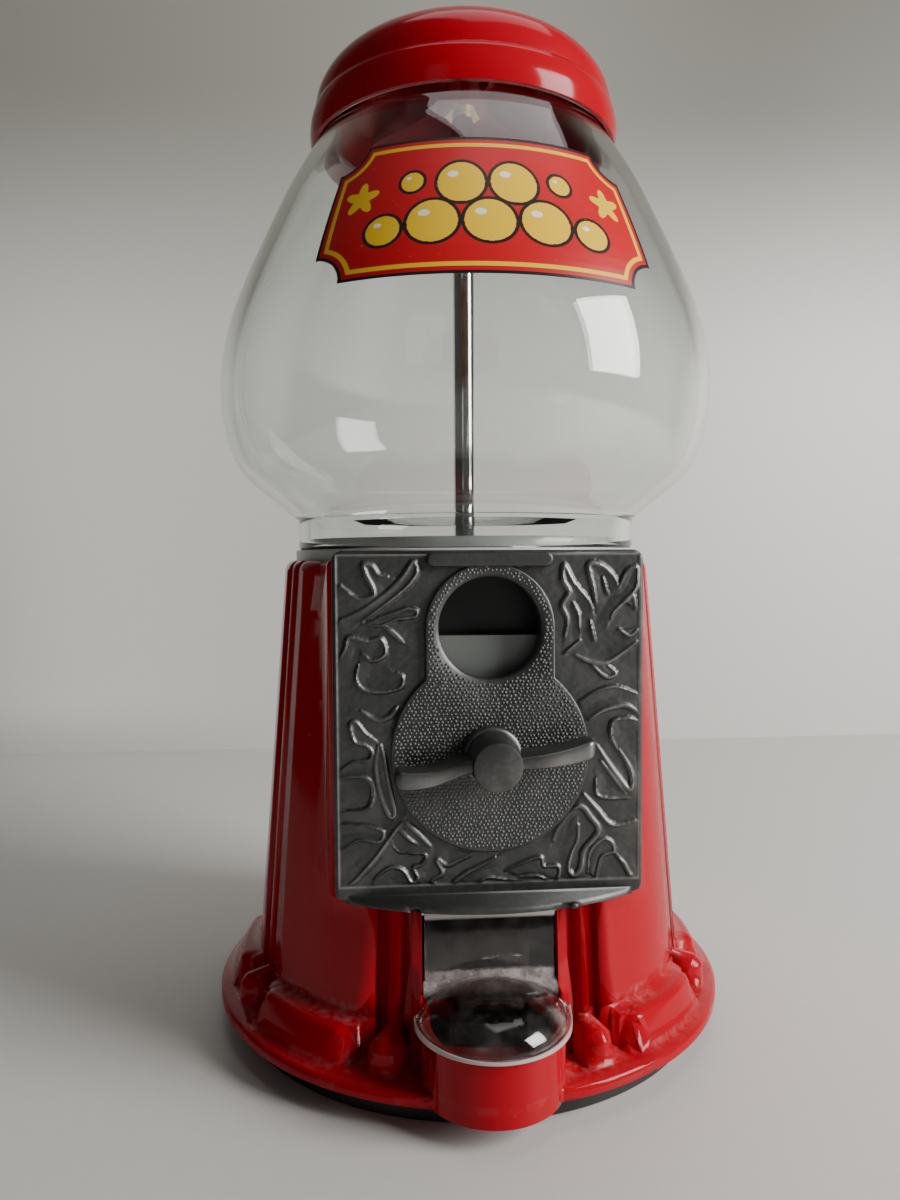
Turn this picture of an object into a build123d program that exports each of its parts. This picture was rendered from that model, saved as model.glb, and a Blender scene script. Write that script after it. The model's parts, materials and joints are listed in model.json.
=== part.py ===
from build123d import *
import math
import os

# Toy gumball machine. Millimetres, +Z up, the ground at z = 0, the centre rod on the Z axis
# and the front towards -Y. An azimuth is measured from the front towards +X.

beyond = 100.0  # longer than any cut needs to be

# ---- bottom plate ----
plate_radius = 68.0
plate_height = 7.0
plate_floor = 2.5
plate_rim = 3.0
plate_hub_radius = 12.0
plate_hub_recess = 9.0
register_height = 3.0
register_clearance = 0.4

# ---- body shell ----
body_height = 124.5
wall_foot_radius = 63.3
wall_slope = 0.0797
wall_thickness = 2.6
top_thickness = 2.6
shoulder_radius = 3.2
flute_clusters = 8
flute_width = 9.5
flute_depth = 2.0
flute_backing = 2.4
bead_radius = 2.1
lip_radius = 73.6
lip_height = 3.2
lip_edge = 0.9
ring_height = 9.2
ring_foot_radius = 70.4
ring_top_radius = 67.6
ring_top_drop = 0.9
ring_round = 2.6
ring_gap_angle = 14.4
ring_wall = 2.6
foot_width = 8.6
foot_reach = 70.0
foot_round = 2.2
flange_split_rise = 0.5

# ---- tray at the front of the body ----
tray_half_width = 17.2
tray_reach = 80.0
tray_wall = 2.4
tray_floor_height = 3.0
tray_drop = 0.6
tray_front_height = 14.2
tray_side_height = 19.6
chute_door_half_width = 16.5
chute_door_height = 42.0

# ---- face plate ----
face_width = 74.0
face_height = 83.0
face_foot = 50.6
face_front = 60.0
face_thickness = 4.0
face_corner = 2.6
face_edge_round = 0.8
boss_rise = 1.4
boss_radius = 23.6
boss_lobe_radius = 15.4
hole_height = 115.2
hole_radius = 12.2
hole_chamfer = 0.7
bar_length = 30.0
bar_height = 3.6
bar_rise = 2.0
bar_drop = 2.2
hood_width = 69.0
hood_depth = 10.0
hood_rise = 1.6
hood_slope_drop = 1.6
hood_lip = 2.1
hood_wall = 1.2
hood_knob_radius = 1.3
hood_knob_offset = 18.5
pad_margin = 1.2
pad_flare = 3.0
pad_depth = 20.0
pad_wall = 3.0
pad_seat = 3.6
window_foot_margin = 2.2
window_gusset = 9.0
bushing_radius = 5.0

# ---- handle and drive train ----
axis_height = 85.5
shaft_radius = 3.0
shaft_tail = 32.4
shaft_fit = 0.05
hub_rear_radius = 7.0
hub_step_radius = 6.3
hub_front_radius = 5.7
hub_length = 13.6
hub_step = 3.4
handle_clearance = 0.3
wing_span = 45.6
wing_thickness = 3.5
wing_tip_thickness = 3.3
wing_depth = 9.6
wing_drop = 0.8
wing_sag = 1.6
wing_setback = 2.4
wing_tip_round = 2.0
handle_turned = 6.8

coin_wheel_front = 54.4
coin_wheel_thickness = 2.4
coin_wheel_margin = 6.8
coin_wheel_radius = face_width / 2 - coin_wheel_margin
coin_wheel_flat = 27.5
coin_gap = 2.8
housing_wall = 2.0
housing_clearance = 0.8
housing_rim = 1.2
housing_lobe_top = 128.4
coin_exit_half_width = 14.0
ear_radius = 3.4
ear_thickness = 3.0
ear_spread = 24.0
ear_foot_offset = 26.5
ear_head_offset = 26.5

ratchet_front = 46.4
ratchet_thickness = 3.0
ratchet_teeth = 24
ratchet_radius = 14.0
ratchet_depth = 1.8
pawl_pin_x = 18.0
pawl_pin_rise = 14.0
pawl_pin_radius = 1.5
pawl_hub_radius = 3.4
pawl_width = 3.0
pawl_running_gap = 0.3
spring_wire = 0.35

gear_front = 37.7
gear_thickness = 4.0
gear_teeth = 24
gear_tip_radius = 31.8
gear_root_radius = 27.4
gear_tooth_width = 2.4
gear_web = 2.4
clip_thickness = 0.8
clip_radius = 5.0
clip_groove = 0.6

# ---- hopper and candy wheel ----
collar_radius = 50.4
collar_height = 2.8
hopper_radius = 45.4
hopper_wall = 2.0
hopper_fit = 0.6
hopper_floor_drop = 12.5
hopper_floor_thickness = 2.0
channel_inner = 32.6
channel_outer = 38.4
channel_depth = 5.8
window_clearance = 0.5
outlet_offset = 19.5
outlet_radius = 7.4
upstand_height = 3.0
upstand_wall = 0.9
rod_bore_clearance = 0.4
wheel_gap = 0.3
wheel_thickness = 5.0
wheel_edge_gap = 0.6
wheel_pockets = 6
pocket_radius = 7.3
crown_teeth = 28
crown_inner = 34.3
crown_outer = 37.1
crown_tooth_width = 2.4
crown_depth = 5.2
wheel_hub_radius = 9.0
wheel_hub_rise = 4.0
guard_thickness = 1.6
guard_gap = 0.8

# ---- globe ----
glass_wall = 3.0
neck_radius = 49.6
neck_height = 8.6
belly_radius = 70.9
belly_height = 42.0
mouth_radius = 40.0
mouth_height = 119.6
heel_gap = 0.1
lip_bead = 2.0

# ---- lid ----
lid_rim_height = 249.9
lid_rim_radius = 44.3
lid_band_bulge = 0.5
lid_crease_height = 259.3
lid_crease_step = 0.5
lid_top = 280.0
lid_wall = 1.8
lid_rim_wall = 1.1
lid_power = 2.3
lid_boss_radius = 7.5
lid_boss_foot = 262.0
lid_boss_ribs = 8
lid_seat_ring = 1.6
nut_flats = 9.0
nut_height = 6.0
rod_radius = 3.2
rod_fit = 0.05
rod_thread_length = 14.0

# ---- rod fasteners ----
rod_nut_flats = 10.0
rod_nut_height = 3.0
rod_washer_radius = 7.0
rod_washer_thickness = 1.0

# ---- chute ----
chute_half_width = 8.4
chute_half_depth = 7.5
chute_wall = 1.4
chute_bend_height = 52.0
chute_slope = 41.5
chute_end = 54.2
spout_length = 6.0
spout_clearance = 0.3

# ---- flap ----
flap_half_width = 15.9
flap_thickness = 2.0
flap_pin_height = 46.0
flap_pin_depth = 56.2
flap_pin_radius = 1.0
flap_pin_seat = 2.0
flap_knuckle_radius = 2.0
flap_overhang = 1.6
flap_disc_radius = tray_half_width + flap_overhang
flap_disc_centre = tray_reach - tray_half_width
flap_dome_radius = tray_half_width + 0.1
flap_dome_centre = flap_disc_centre + 0.2
flap_dome_height = 10.5
flap_dome_wall = 1.6
flap_seat_gap = 0.3
flap_wall_gap = 0.5

# ---- screws ----
screw_radius = 1.45
screw_hole_clearance = 0.15
screw_head_radius = 2.7
screw_head_height = 1.8
screw_bite = 2.8
plate_screw_inset = 1.9

flange_base = plate_height
body_top = flange_base + body_height
collar_top = body_top + collar_height
glass_foot = collar_top + heel_gap
floor_top = body_top - hopper_floor_drop
face_back = face_front - face_thickness


def front_turn(shape, azimuth):
    """Turn a shape made at the front to its azimuth."""
    return Rot(0, 0, azimuth) * shape


def profile(points):
    """A closed face in the XZ plane from (radius, height) points."""
    return Plane.XZ * make_face(Polyline(*points, close=True))


def turned(points):
    """A solid of revolution about Z from (radius, height) points."""
    return revolve(profile(points), axis=Axis.Z)


def disc_z(radius, foot, top, x=0.0, y=0.0):
    """An upright cylinder between two heights."""
    low = (Align.CENTER, Align.CENTER, Align.MIN)
    return Pos(x, y, foot) * Cylinder(radius, top - foot, align=low)


def disc_y(radius, front, back, x=0.0, z=0.0):
    """A cylinder along Y, from the distance front to the distance back before the axis."""
    low = (Align.CENTER, Align.CENTER, Align.MIN)
    return Pos(x, -front, z) * Rot(-90, 0, 0) * Cylinder(radius, front - back, align=low)


def block(x0, x1, y0, y1, z0, z1):
    """A box between two corners."""
    low = (Align.MIN, Align.MIN, Align.MIN)
    return Pos(x0, y0, z0) * Box(x1 - x0, y1 - y0, z1 - z0, align=low)


def outer_radius(height):
    """The body wall's outer radius at a height."""
    return wall_foot_radius - wall_slope * (height - flange_base)


def wall_frame(azimuth, height):
    """A plane on the wall at an azimuth: x along the wall, y up the slope, z outward."""
    lean = math.degrees(math.atan(wall_slope))
    return Rot(0, 0, azimuth) * Pos(0, -outer_radius(height), height) * Rot(90 - lean, 0, 0)


def cluster_azimuths():
    step = 360.0 / flute_clusters
    return [step * (index + 0.5) for index in range(flute_clusters)]


# ---------------------------------------------------------------- body shell
def flute_cutter(azimuth):
    """A channel down the wall at a cluster, with a rounded bead left standing in its middle."""
    middle = (flange_base + lip_height + body_top) / 2
    length = body_height * 1.2
    frame = wall_frame(azimuth, middle)
    channel = frame * Pos(0, 0, flute_depth) * Box(flute_width, length, 4 * flute_depth)
    bead = frame * Pos(0, 0, -flute_depth) * Rot(90, 0, 0) * Cylinder(bead_radius, length * 1.1)
    return channel - bead


def ring_profile(inset=0.0):
    """The flange ring's section, or the hollow under it when inset is its wall."""
    foot = flange_base if inset else flange_base + lip_height * 0.5
    top = flange_base + ring_height + lip_height - inset
    inner = outer_radius(flange_base) - wall_thickness
    if inset:
        inner = outer_radius(flange_base)
    slope = (ring_foot_radius - ring_top_radius) / ring_height
    return [
        (inner, foot),
        (ring_foot_radius - inset, foot),
        (ring_foot_radius - inset, flange_base + lip_height - inset),
        (ring_foot_radius - inset - slope * ring_height, top - ring_top_drop),
        (inner, top),
    ]


def ring_segment(azimuth):
    """One raised arc of the flange ring between two clusters, rounded over its edges."""
    arc = 360.0 / flute_clusters - ring_gap_angle
    shape = revolve(profile(ring_profile()), axis=Axis.Z, revolution_arc=arc)
    shape = Rot(0, 0, -90 - arc / 2) * shape
    outer = shape.edges().filter_by(lambda edge: edge.center().Z > flange_base + ring_height
                                    and math.hypot(edge.center().X, edge.center().Y)
                                    > outer_radius(flange_base) + 1)
    ends = shape.edges().filter_by(lambda edge: abs(edge.tangent_at(0.5).Z) > 0.9
                                   and math.hypot(edge.center().X, edge.center().Y)
                                   > ring_top_radius - 1)
    shape = fillet(list(outer) + list(ends), ring_round)
    return front_turn(shape, azimuth)


def ring_hollow(azimuth):
    arc = 360.0 / flute_clusters - ring_gap_angle
    arc -= 2 * math.degrees(ring_wall / ring_top_radius)
    shape = revolve(profile(ring_profile(ring_wall)), axis=Axis.Z, revolution_arc=arc)
    return front_turn(Rot(0, 0, -90 - arc / 2) * shape, azimuth)


def flange_foot(azimuth):
    """The round-topped foot that stands in the flange ring's gap below a cluster."""
    inner = outer_radius(flange_base) - wall_thickness
    low = flange_base + lip_height * 0.5
    crown = flange_base + lip_height + ring_height - foot_width / 2
    plan = Pos(0, crown) * Circle(foot_width / 2)
    plan += Pos(0, (crown + low) / 2) * Rectangle(foot_width, crown - low)
    foot = forward(plan, inner, foot_reach)
    rim = foot.faces().sort_by(Axis.Y)[0].edges().filter_by(lambda edge: edge.center().Z > low + 0.1)
    return front_turn(fillet(rim, foot_round), azimuth)


def lip_ring():
    """The flange's thin lower lip."""
    top = flange_base + lip_height
    inner = outer_radius(flange_base) - wall_thickness
    return turned([(inner, flange_base), (lip_radius, flange_base), (lip_radius, top - lip_edge),
                   (lip_radius - lip_edge, top - lip_edge * 0.3), (ring_foot_radius, top),
                   (inner, top + lip_edge)])


def pad_prism(inset=0.0):
    """The flat-fronted pad that carries the face plate, wider towards the back."""
    half = face_width / 2 + pad_margin - inset
    front = face_back - inset
    rear = front - pad_depth
    plan = make_face(Polyline((-half, -front), (half, -front), (half + pad_flare, -rear),
                              (-half - pad_flare, -rear), close=True))
    foot = face_foot + inset
    top = body_top - (top_thickness if inset else 0.0)
    prism = extrude(Pos(0, 0, foot) * plan, amount=top - foot)
    if inset:
        return prism
    corners = prism.edges().filter_by(Axis.Z).group_by(Axis.Y)[0]
    prism = fillet(corners, shoulder_radius / 2)
    return fillet(prism.edges().group_by(Axis.Z)[-1].group_by(Axis.Y)[0], shoulder_radius / 2)


def tray_plan(inset, reach_back):
    """The tray's plan: two straight sides closed by a half circle at the front."""
    radius = tray_half_width - inset
    centre = tray_reach - tray_half_width
    side = Rectangle(2 * radius, centre - reach_back)
    side = Pos(0, -(centre + reach_back) / 2) * side
    return side + Pos(0, -centre) * Circle(radius)


def tray_rim_angle():
    rise = tray_side_height - tray_front_height
    return math.degrees(math.atan(rise / tray_half_width))


def above_tray_rim(lift=0.0):
    """Everything above the tray's sloping rim, raised by lift."""
    front = flange_base + tray_front_height
    slab = block(-beyond, beyond, -beyond, beyond, 0, beyond)
    return Pos(0, -tray_reach, front + lift) * Rot(tray_rim_angle(), 0, 0) * slab


def tray_outside():
    back = outer_radius(flange_base) - wall_thickness
    foot = flange_base - tray_drop
    shape = extrude(Pos(0, 0, foot) * tray_plan(0, back), amount=tray_side_height + 8)
    return shape - above_tray_rim() - disc_z(plate_radius + register_clearance, foot - 1, flange_base)


def tray_inside():
    """The space that a sweet falls into, which runs back through the wall."""
    back = face_back - pad_depth / 2
    foot = flange_base + tray_floor_height
    return extrude(Pos(0, 0, foot) * tray_plan(tray_wall, back), amount=chute_door_height)


def body_cavity():
    """The hollow inside the wall, less a flat backing behind each flute cluster."""
    top = body_top - top_thickness
    cone = turned([(0, flange_base - 5), (outer_radius(flange_base) - wall_thickness, flange_base - 5),
                   (outer_radius(flange_base) - wall_thickness, flange_base),
                   (outer_radius(top) - wall_thickness, top), (0, top)])
    for azimuth in cluster_azimuths():
        middle = (flange_base + top) / 2
        frame = wall_frame(azimuth, middle)
        backing = frame * Pos(0, 0, -flute_backing) * Box(
            flute_width + 2 * flute_backing, 2 * body_height, 2 * flute_backing)
        cone -= backing
    pad = pad_prism(pad_wall) & turned([(0, face_foot), (outer_radius(face_foot) + 20, face_foot),
                                        (outer_radius(face_foot) + 20, top), (0, top)])
    return cone + pad


def mechanism_window():
    """The opening behind the plate, with its corners filled in for the plate's screws."""
    half = face_width / 2 - pad_seat
    low = face_foot + window_foot_margin
    high = body_top - top_thickness
    plan = Pos(0, (low + high) / 2) * Rectangle(2 * half, high - low)
    plan = chamfer(plan.vertices(), window_gusset)
    return forward(plan, face_back - pad_wall - 1, face_front)


def plate_screw_places():
    x = face_width / 2 - pad_seat - plate_screw_inset
    low = face_foot + window_foot_margin + 2 * plate_screw_inset
    high = body_top - top_thickness - 1.6 * plate_screw_inset
    return [(sx * x, z) for sx in (-1, 1) for z in (low, high)]


def body_casting():
    """The whole red casting: wall, flange, pad and tray."""
    wall = turned([(0, flange_base), (outer_radius(flange_base), flange_base),
                   (outer_radius(body_top), body_top), (0, body_top)])
    wall = fillet(wall.edges().group_by(Axis.Z)[-1], shoulder_radius)
    for azimuth in cluster_azimuths():
        wall -= flute_cutter(azimuth)
    wall += lip_ring()
    step = 360.0 / flute_clusters
    for index in range(1, flute_clusters):
        wall += ring_segment(step * index)
    for azimuth in cluster_azimuths():
        wall += flange_foot(azimuth)
    wall += pad_prism()
    wall += tray_outside()
    face_seat = block(-beyond, beyond, -beyond, -face_back, face_foot, beyond * 2)
    wall -= face_seat
    wall -= body_cavity() - block(-tray_half_width, tray_half_width, -tray_reach,
                                  -chute_end, 0, flange_base + tray_floor_height)
    for index in range(1, flute_clusters):
        wall -= ring_hollow(step * index)
    wall -= tray_inside() & above_bottom_of_door()
    wall -= block(-chute_door_half_width, chute_door_half_width, -tray_reach, -face_back + pad_depth / 2,
                  flange_base + tray_side_height - 1, flange_base + chute_door_height)
    wall -= mechanism_window()
    wall -= disc_z(hopper_radius + hopper_fit, body_top - 2 * top_thickness, body_top + 1)
    for x, z in plate_screw_places():
        wall -= disc_y(screw_radius + screw_hole_clearance, face_front, face_back - 2 * pad_wall, x, z)
        wall -= disc_y(screw_head_radius + 3 * screw_hole_clearance, face_back - pad_wall,
                       face_back - pad_depth / 2, x, z)
    return wall - flap_pin_line(flap_pin_radius + shaft_fit, flap_pin_length() + 2 * shaft_fit)


def flange_zone():
    """The part of the casting below the wall: the lip, the ring, the feet and the tray."""
    split = flange_base + lip_height + ring_height + flange_split_rise
    zone = block(-beyond, beyond, -beyond, beyond, 0, split)
    half = tray_half_width + 1
    return zone + block(-half, half, -beyond, -outer_radius(split), split, split + tray_side_height)


def make_body_shell():
    return body_casting() - flange_zone()


def make_body_flange():
    return body_casting() & flange_zone()


def above_bottom_of_door():
    return block(-tray_half_width, tray_half_width, -2 * tray_reach, 0, 0,
                 flange_base + chute_door_height)


def flap_pin_length():
    return 2 * (chute_door_half_width + flap_pin_seat)


def flap_pin_line(radius, length):
    """A cylinder along X on the flap's hinge line."""
    return Pos(0, -flap_pin_depth, flap_pin_height) * Rot(0, 90, 0) * Cylinder(radius, length)


# ---------------------------------------------------------------- bottom plate
def make_bottom_plate():
    plate = disc_z(plate_radius, 0, plate_height)
    plate = fillet(plate.edges().group_by(Axis.Z)[0], 1.0)
    plate -= disc_z(plate_radius - plate_rim, 0, plate_height - plate_floor)
    register = outer_radius(flange_base) - wall_thickness - flute_backing - register_clearance
    ring = disc_z(register, plate_height, plate_height + register_height)
    ring -= disc_z(register - plate_rim, plate_height, plate_height + register_height)
    ring -= block(-tray_half_width - register_clearance, tray_half_width + register_clearance,
                  -plate_radius, 0, plate_height, 2 * plate_height)
    plate += ring
    plate += disc_z(plate_hub_radius, 1.0, plate_height)
    plate -= disc_z(plate_hub_recess, 0, plate_height - plate_floor)
    for index in range(8):
        rib = block(plate_hub_radius - 1, plate_radius - plate_rim + 1, -1, 1, 2.0, plate_height - 1)
        plate += Rot(0, 0, index * 45) * rib
    return plate - disc_z(rod_radius + rod_bore_clearance, 0, plate_height)


# ---------------------------------------------------------------- face plate
def keyhole_plan(grow=0.0):
    """The boss outline: a circle round the handle and a narrower lobe round the coin hole."""
    lobe = boss_lobe_radius + grow
    rise = hole_height - axis_height
    plan = Pos(0, axis_height) * Circle(boss_radius + grow) + Pos(0, hole_height) * Circle(lobe)
    return plan + Pos(0, axis_height + rise / 2) * Rectangle(2 * lobe, rise)


def forward(plan, back, front):
    """Extrude a plan drawn as (x, z) from the distance back to the distance front."""
    return extrude(Plane.XZ.offset(back) * plan, amount=front - back)


def make_hood():
    """The half-moon hood at the plate's foot, hollow below, with a small knob at each end."""
    radius = ((hood_width / 2) ** 2 + hood_depth ** 2) / (2 * hood_depth)
    lip_top = face_foot + hood_rise - hood_slope_drop
    foot = lip_top - hood_lip
    crescent = Pos(0, radius - face_front - hood_depth) * Circle(radius)
    crescent &= Pos(0, -face_front - hood_depth / 2) * Rectangle(hood_width, hood_depth)
    hood = extrude(Pos(0, 0, foot) * crescent, amount=lip_top + hood_slope_drop - foot)
    slope = math.degrees(math.atan(hood_slope_drop / hood_depth))
    cut = block(-hood_width, hood_width, -hood_depth, 2 * hood_depth, 0, hood_depth)
    hood -= Pos(0, -face_front - hood_depth, lip_top) * Rot(slope, 0, 0) * cut
    hollow = Pos(0, radius - face_front - hood_depth + hood_wall) * Circle(radius)
    hollow &= Pos(0, -face_front - hood_depth / 2) * Rectangle(hood_width, hood_depth)
    hood -= extrude(Pos(0, 0, foot - 1) * hollow, amount=hood_lip - hood_wall + 1)
    for side in (-1, 1):
        x = side * hood_knob_offset
        reach = math.sqrt(radius ** 2 - x ** 2) - radius + hood_depth
        hood += Pos(x, -face_front - reach, lip_top - hood_knob_radius) * Sphere(hood_knob_radius)
    return hood


def make_face_plate():
    plan = Pos(0, face_foot + face_height / 2) * RectangleRounded(face_width, face_height, face_corner)
    plate = forward(plan, face_back, face_front)
    plate = fillet(plate.faces().sort_by(Axis.Y)[0].edges(), face_edge_round)
    boss = forward(keyhole_plan(), face_front - 1, face_front + boss_rise)
    boss = fillet(boss.faces().sort_by(Axis.Y)[0].edges(), boss_rise * 0.35)
    plate += boss
    bar = SlotOverall(bar_length, bar_height)
    bar = Pos(0, face_foot + face_height - bar_drop) * bar
    lozenge = forward(bar, face_front - 1, face_front + bar_rise)
    lozenge = fillet(lozenge.faces().sort_by(Axis.Y)[0].edges(), bar_rise * 0.4)
    plate += lozenge
    plate += make_hood()
    plate += disc_y(bushing_radius, face_back + 1, coin_wheel_front + handle_clearance, 0, axis_height)
    hole = disc_y(hole_radius, face_front + boss_rise + 1, face_back - 1, 0, hole_height)
    plate -= hole
    rim = plate.edges().filter_by(GeomType.CIRCLE).filter_by(
        lambda edge: abs(edge.radius - hole_radius) < 1e-6).sort_by(Axis.Y)[0]
    plate = chamfer(rim, hole_chamfer)
    bore = shaft_radius + shaft_fit
    plate -= disc_y(bore, face_front + boss_rise + 1, coin_wheel_front - 1, 0, axis_height)
    for x, z in plate_screw_places() + housing_screw_places():
        plate -= disc_y(screw_radius + screw_hole_clearance, face_back + screw_bite + 0.2,
                        face_back - 1, x, z)
    return plate


# ---------------------------------------------------------------- coin works
def coin_wheel_back():
    return coin_wheel_front - coin_wheel_thickness


def housing_inner():
    return coin_wheel_back() - coin_gap


def housing_back():
    return housing_inner() - housing_wall


def housing_outer_radius():
    return coin_wheel_radius + housing_clearance + housing_rim


def housing_screw_places():
    low = axis_height - ear_foot_offset
    high = axis_height + ear_head_offset
    return [(side * ear_spread, z) for side in (-1, 1) for z in (low, high)]


def housing_plan(shrink=0.0):
    """The housing's outline: a circle round the coin wheel and a straight-sided lobe above it."""
    circle = Pos(0, axis_height) * Circle(housing_outer_radius() - shrink)
    half = hole_radius + hole_chamfer + 2 * housing_rim - shrink
    top = housing_lobe_top - shrink
    lobe = Pos(0, (axis_height + top) / 2) * Rectangle(2 * half, top - axis_height)
    return circle + lobe


def make_coin_housing():
    shell = forward(housing_plan(), housing_back(), face_back)
    shell -= forward(housing_plan(housing_rim), housing_inner(), face_back + 1)
    for x, z in housing_screw_places():
        lean = math.degrees(math.atan2(z - axis_height, x))
        reach = math.hypot(x, z - axis_height) - housing_outer_radius() + housing_rim
        ear = Pos(x, z) * Circle(ear_radius)
        web = Pos(x, z) * Rot(0, 0, lean) * Pos(-reach / 2, 0) * Rectangle(reach, 2 * ear_radius)
        ear = forward(ear + web, face_back - ear_thickness, face_back)
        shell += ear - forward(housing_plan(housing_rim), housing_back(), face_back + 1)
    shell -= block(-coin_exit_half_width, coin_exit_half_width, -face_back - 1, -housing_inner(),
                   axis_height - housing_outer_radius() - 1, axis_height - coin_wheel_radius * 0.8)
    shell += disc_y(bushing_radius, housing_back() + 0.5, ratchet_front + handle_clearance,
                    0, axis_height)
    shell -= disc_y(shaft_radius + shaft_fit, housing_inner() + 1, ratchet_front - 1, 0, axis_height)
    shell -= disc_y(pawl_pin_radius + shaft_fit, housing_inner() + 1, ratchet_front - 1,
                    pawl_pin_x, axis_height + pawl_pin_rise)
    for x, z in housing_screw_places():
        shell -= disc_y(screw_radius + screw_hole_clearance, face_back + 1,
                        face_back - ear_thickness - 1, x, z)
    return shell


def screw_from_behind(x, z, seat):
    """A pan-head screw driven forward into the face plate, its head on the seat."""
    head = disc_y(screw_head_radius, seat, seat - screw_head_height, x, z)
    head = fillet(head.faces().sort_by(Axis.Y)[-1].edges(), screw_head_height * 0.4)
    slot = screw_head_radius * 0.62
    for turn in (0, 90):
        arm = Box(2 * slot, screw_head_height, 0.7)
        head -= Pos(x, -seat + screw_head_height, z) * Rot(0, turn, 0) * arm
    return head + disc_y(screw_radius, face_back + screw_bite, seat - 0.1, x, z)


def make_plate_screws():
    seat = face_back - pad_wall
    return Compound([screw_from_behind(x, z, seat) for x, z in plate_screw_places()])


def make_housing_screws():
    seat = face_back - ear_thickness
    return Compound([screw_from_behind(x, z, seat) for x, z in housing_screw_places()])


def make_coin_wheel():
    """The coin wheel: a disc with one flat, keyed to the shaft by its hub."""
    top = axis_height + coin_wheel_flat
    plan = Pos(0, axis_height) * Circle(coin_wheel_radius)
    plan -= Pos(0, top + coin_wheel_radius / 2) * Rectangle(3 * coin_wheel_radius, coin_wheel_radius)
    wheel = forward(plan, coin_wheel_back(), coin_wheel_front)
    wheel += disc_y(bushing_radius + 1, coin_wheel_back() + 0.5, housing_inner() + handle_clearance,
                    0, axis_height)
    return wheel - disc_y(shaft_radius + shaft_fit, coin_wheel_front + 1, housing_inner() - 1,
                          0, axis_height)


def wing_plan():
    """Both wings in front view: blades that leave the hub low, sag and lift again to their tips."""
    half = wing_span / 2
    stations = [(0.24, -wing_drop, wing_thickness), (0.62, -wing_drop - wing_sag, wing_tip_thickness),
                (0.93, -wing_drop, wing_tip_thickness)]
    tip = (half, wing_tip_thickness * 0.1)
    lower = [(half * share, middle - depth / 2) for share, middle, depth in stations]
    upper = [(half * share, middle + depth / 2) for share, middle, depth in stations]
    foot = [(-x, z) for x, z in [tip] + lower[::-1]] + lower + [tip]
    top = [tip] + upper[::-1] + [(-x, z) for x, z in upper + [tip]]
    return make_face([Spline(*foot), Spline(*top)])


def wing_depth_plan(front):
    """The wings seen from above: deepest at the hub, set back towards both tips."""
    half = wing_span / 2
    reach = half + 1.0
    shoulder = -front + wing_setback
    nose = Spline((-reach, shoulder + wing_tip_round), (-half * 0.8, shoulder), (0, -front),
                  (half * 0.8, shoulder), (reach, shoulder + wing_tip_round))
    tail = shoulder + wing_depth
    back = Polyline((reach, shoulder + wing_tip_round), (reach, tail - wing_tip_round),
                    (half * 0.85, tail), (-half * 0.85, tail), (-reach, tail - wing_tip_round),
                    (-reach, shoulder + wing_tip_round))
    return make_face([nose, back])


def make_handle():
    """The stepped hub and its two wings in one casting."""
    back = face_front + boss_rise + handle_clearance
    front = back + hub_length
    step = back + hub_step
    points = [(0, 0), (hub_rear_radius, 0), (hub_rear_radius, hub_step),
              (hub_step_radius, hub_step), (hub_front_radius, hub_length), (0, hub_length)]
    hub = Pos(0, -back, 0) * Rot(90, 0, 0) * turned(points)
    hub = fillet(hub.faces().sort_by(Axis.Y)[0].edges(), 0.5)
    blade = forward(wing_plan(), back + 0.5, front)
    blade &= extrude(Pos(0, 0, -wing_span / 2) * wing_depth_plan(front - 0.6), amount=wing_span)
    handle = hub + blade
    handle = Pos(0, 0, axis_height) * Rot(0, -handle_turned, 0) * handle
    return handle - disc_y(shaft_radius + shaft_fit, step + 4.0, back - 1, 0, axis_height)


def clip_front():
    """The distance of the shaft clip's front face, just behind the gear."""
    return gear_front - gear_thickness - shaft_fit


def make_drive_shaft():
    back = face_front + boss_rise + handle_clearance
    shaft = disc_y(shaft_radius, back + hub_step + 3.9, shaft_tail, 0, axis_height)
    groove = disc_y(shaft_radius + 1, clip_front(), clip_front() - clip_thickness - 2 * shaft_fit,
                    0, axis_height)
    groove -= disc_y(shaft_radius - clip_groove, clip_front() + 1, shaft_tail - 1, 0, axis_height)
    return shaft - groove


def make_shaft_clip():
    inner = shaft_radius - clip_groove + shaft_fit
    front = clip_front() - shaft_fit
    ring = disc_y(clip_radius, front, front - clip_thickness, 0, axis_height)
    ring -= disc_y(inner, front + 1, front - clip_thickness - 1, 0, axis_height)
    return ring - block(-inner, inner, -front - 1, -front + clip_thickness + 1,
                        axis_height - clip_radius - 1, axis_height)


def make_ratchet_wheel():
    """The ratchet wheel: saw teeth round a hub that reaches back to the gear."""
    points = []
    step = 2 * math.pi / ratchet_teeth
    for index in range(ratchet_teeth):
        angle = math.pi / 2 - index * step
        points.append((ratchet_radius * math.cos(angle), axis_height + ratchet_radius * math.sin(angle)))
        foot = ratchet_radius - ratchet_depth
        points.append((foot * math.cos(angle), axis_height + foot * math.sin(angle)))
    plan = make_face(Polyline(*points, close=True))
    wheel = forward(plan, ratchet_front - ratchet_thickness, ratchet_front)
    wheel += disc_y(bushing_radius + 1, ratchet_front - ratchet_thickness + 0.5,
                    gear_front + shaft_fit, 0, axis_height)
    return wheel - disc_y(shaft_radius + shaft_fit, ratchet_front + 1, gear_front - 1, 0, axis_height)


def pawl_place():
    return pawl_pin_x, axis_height + pawl_pin_rise


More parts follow.
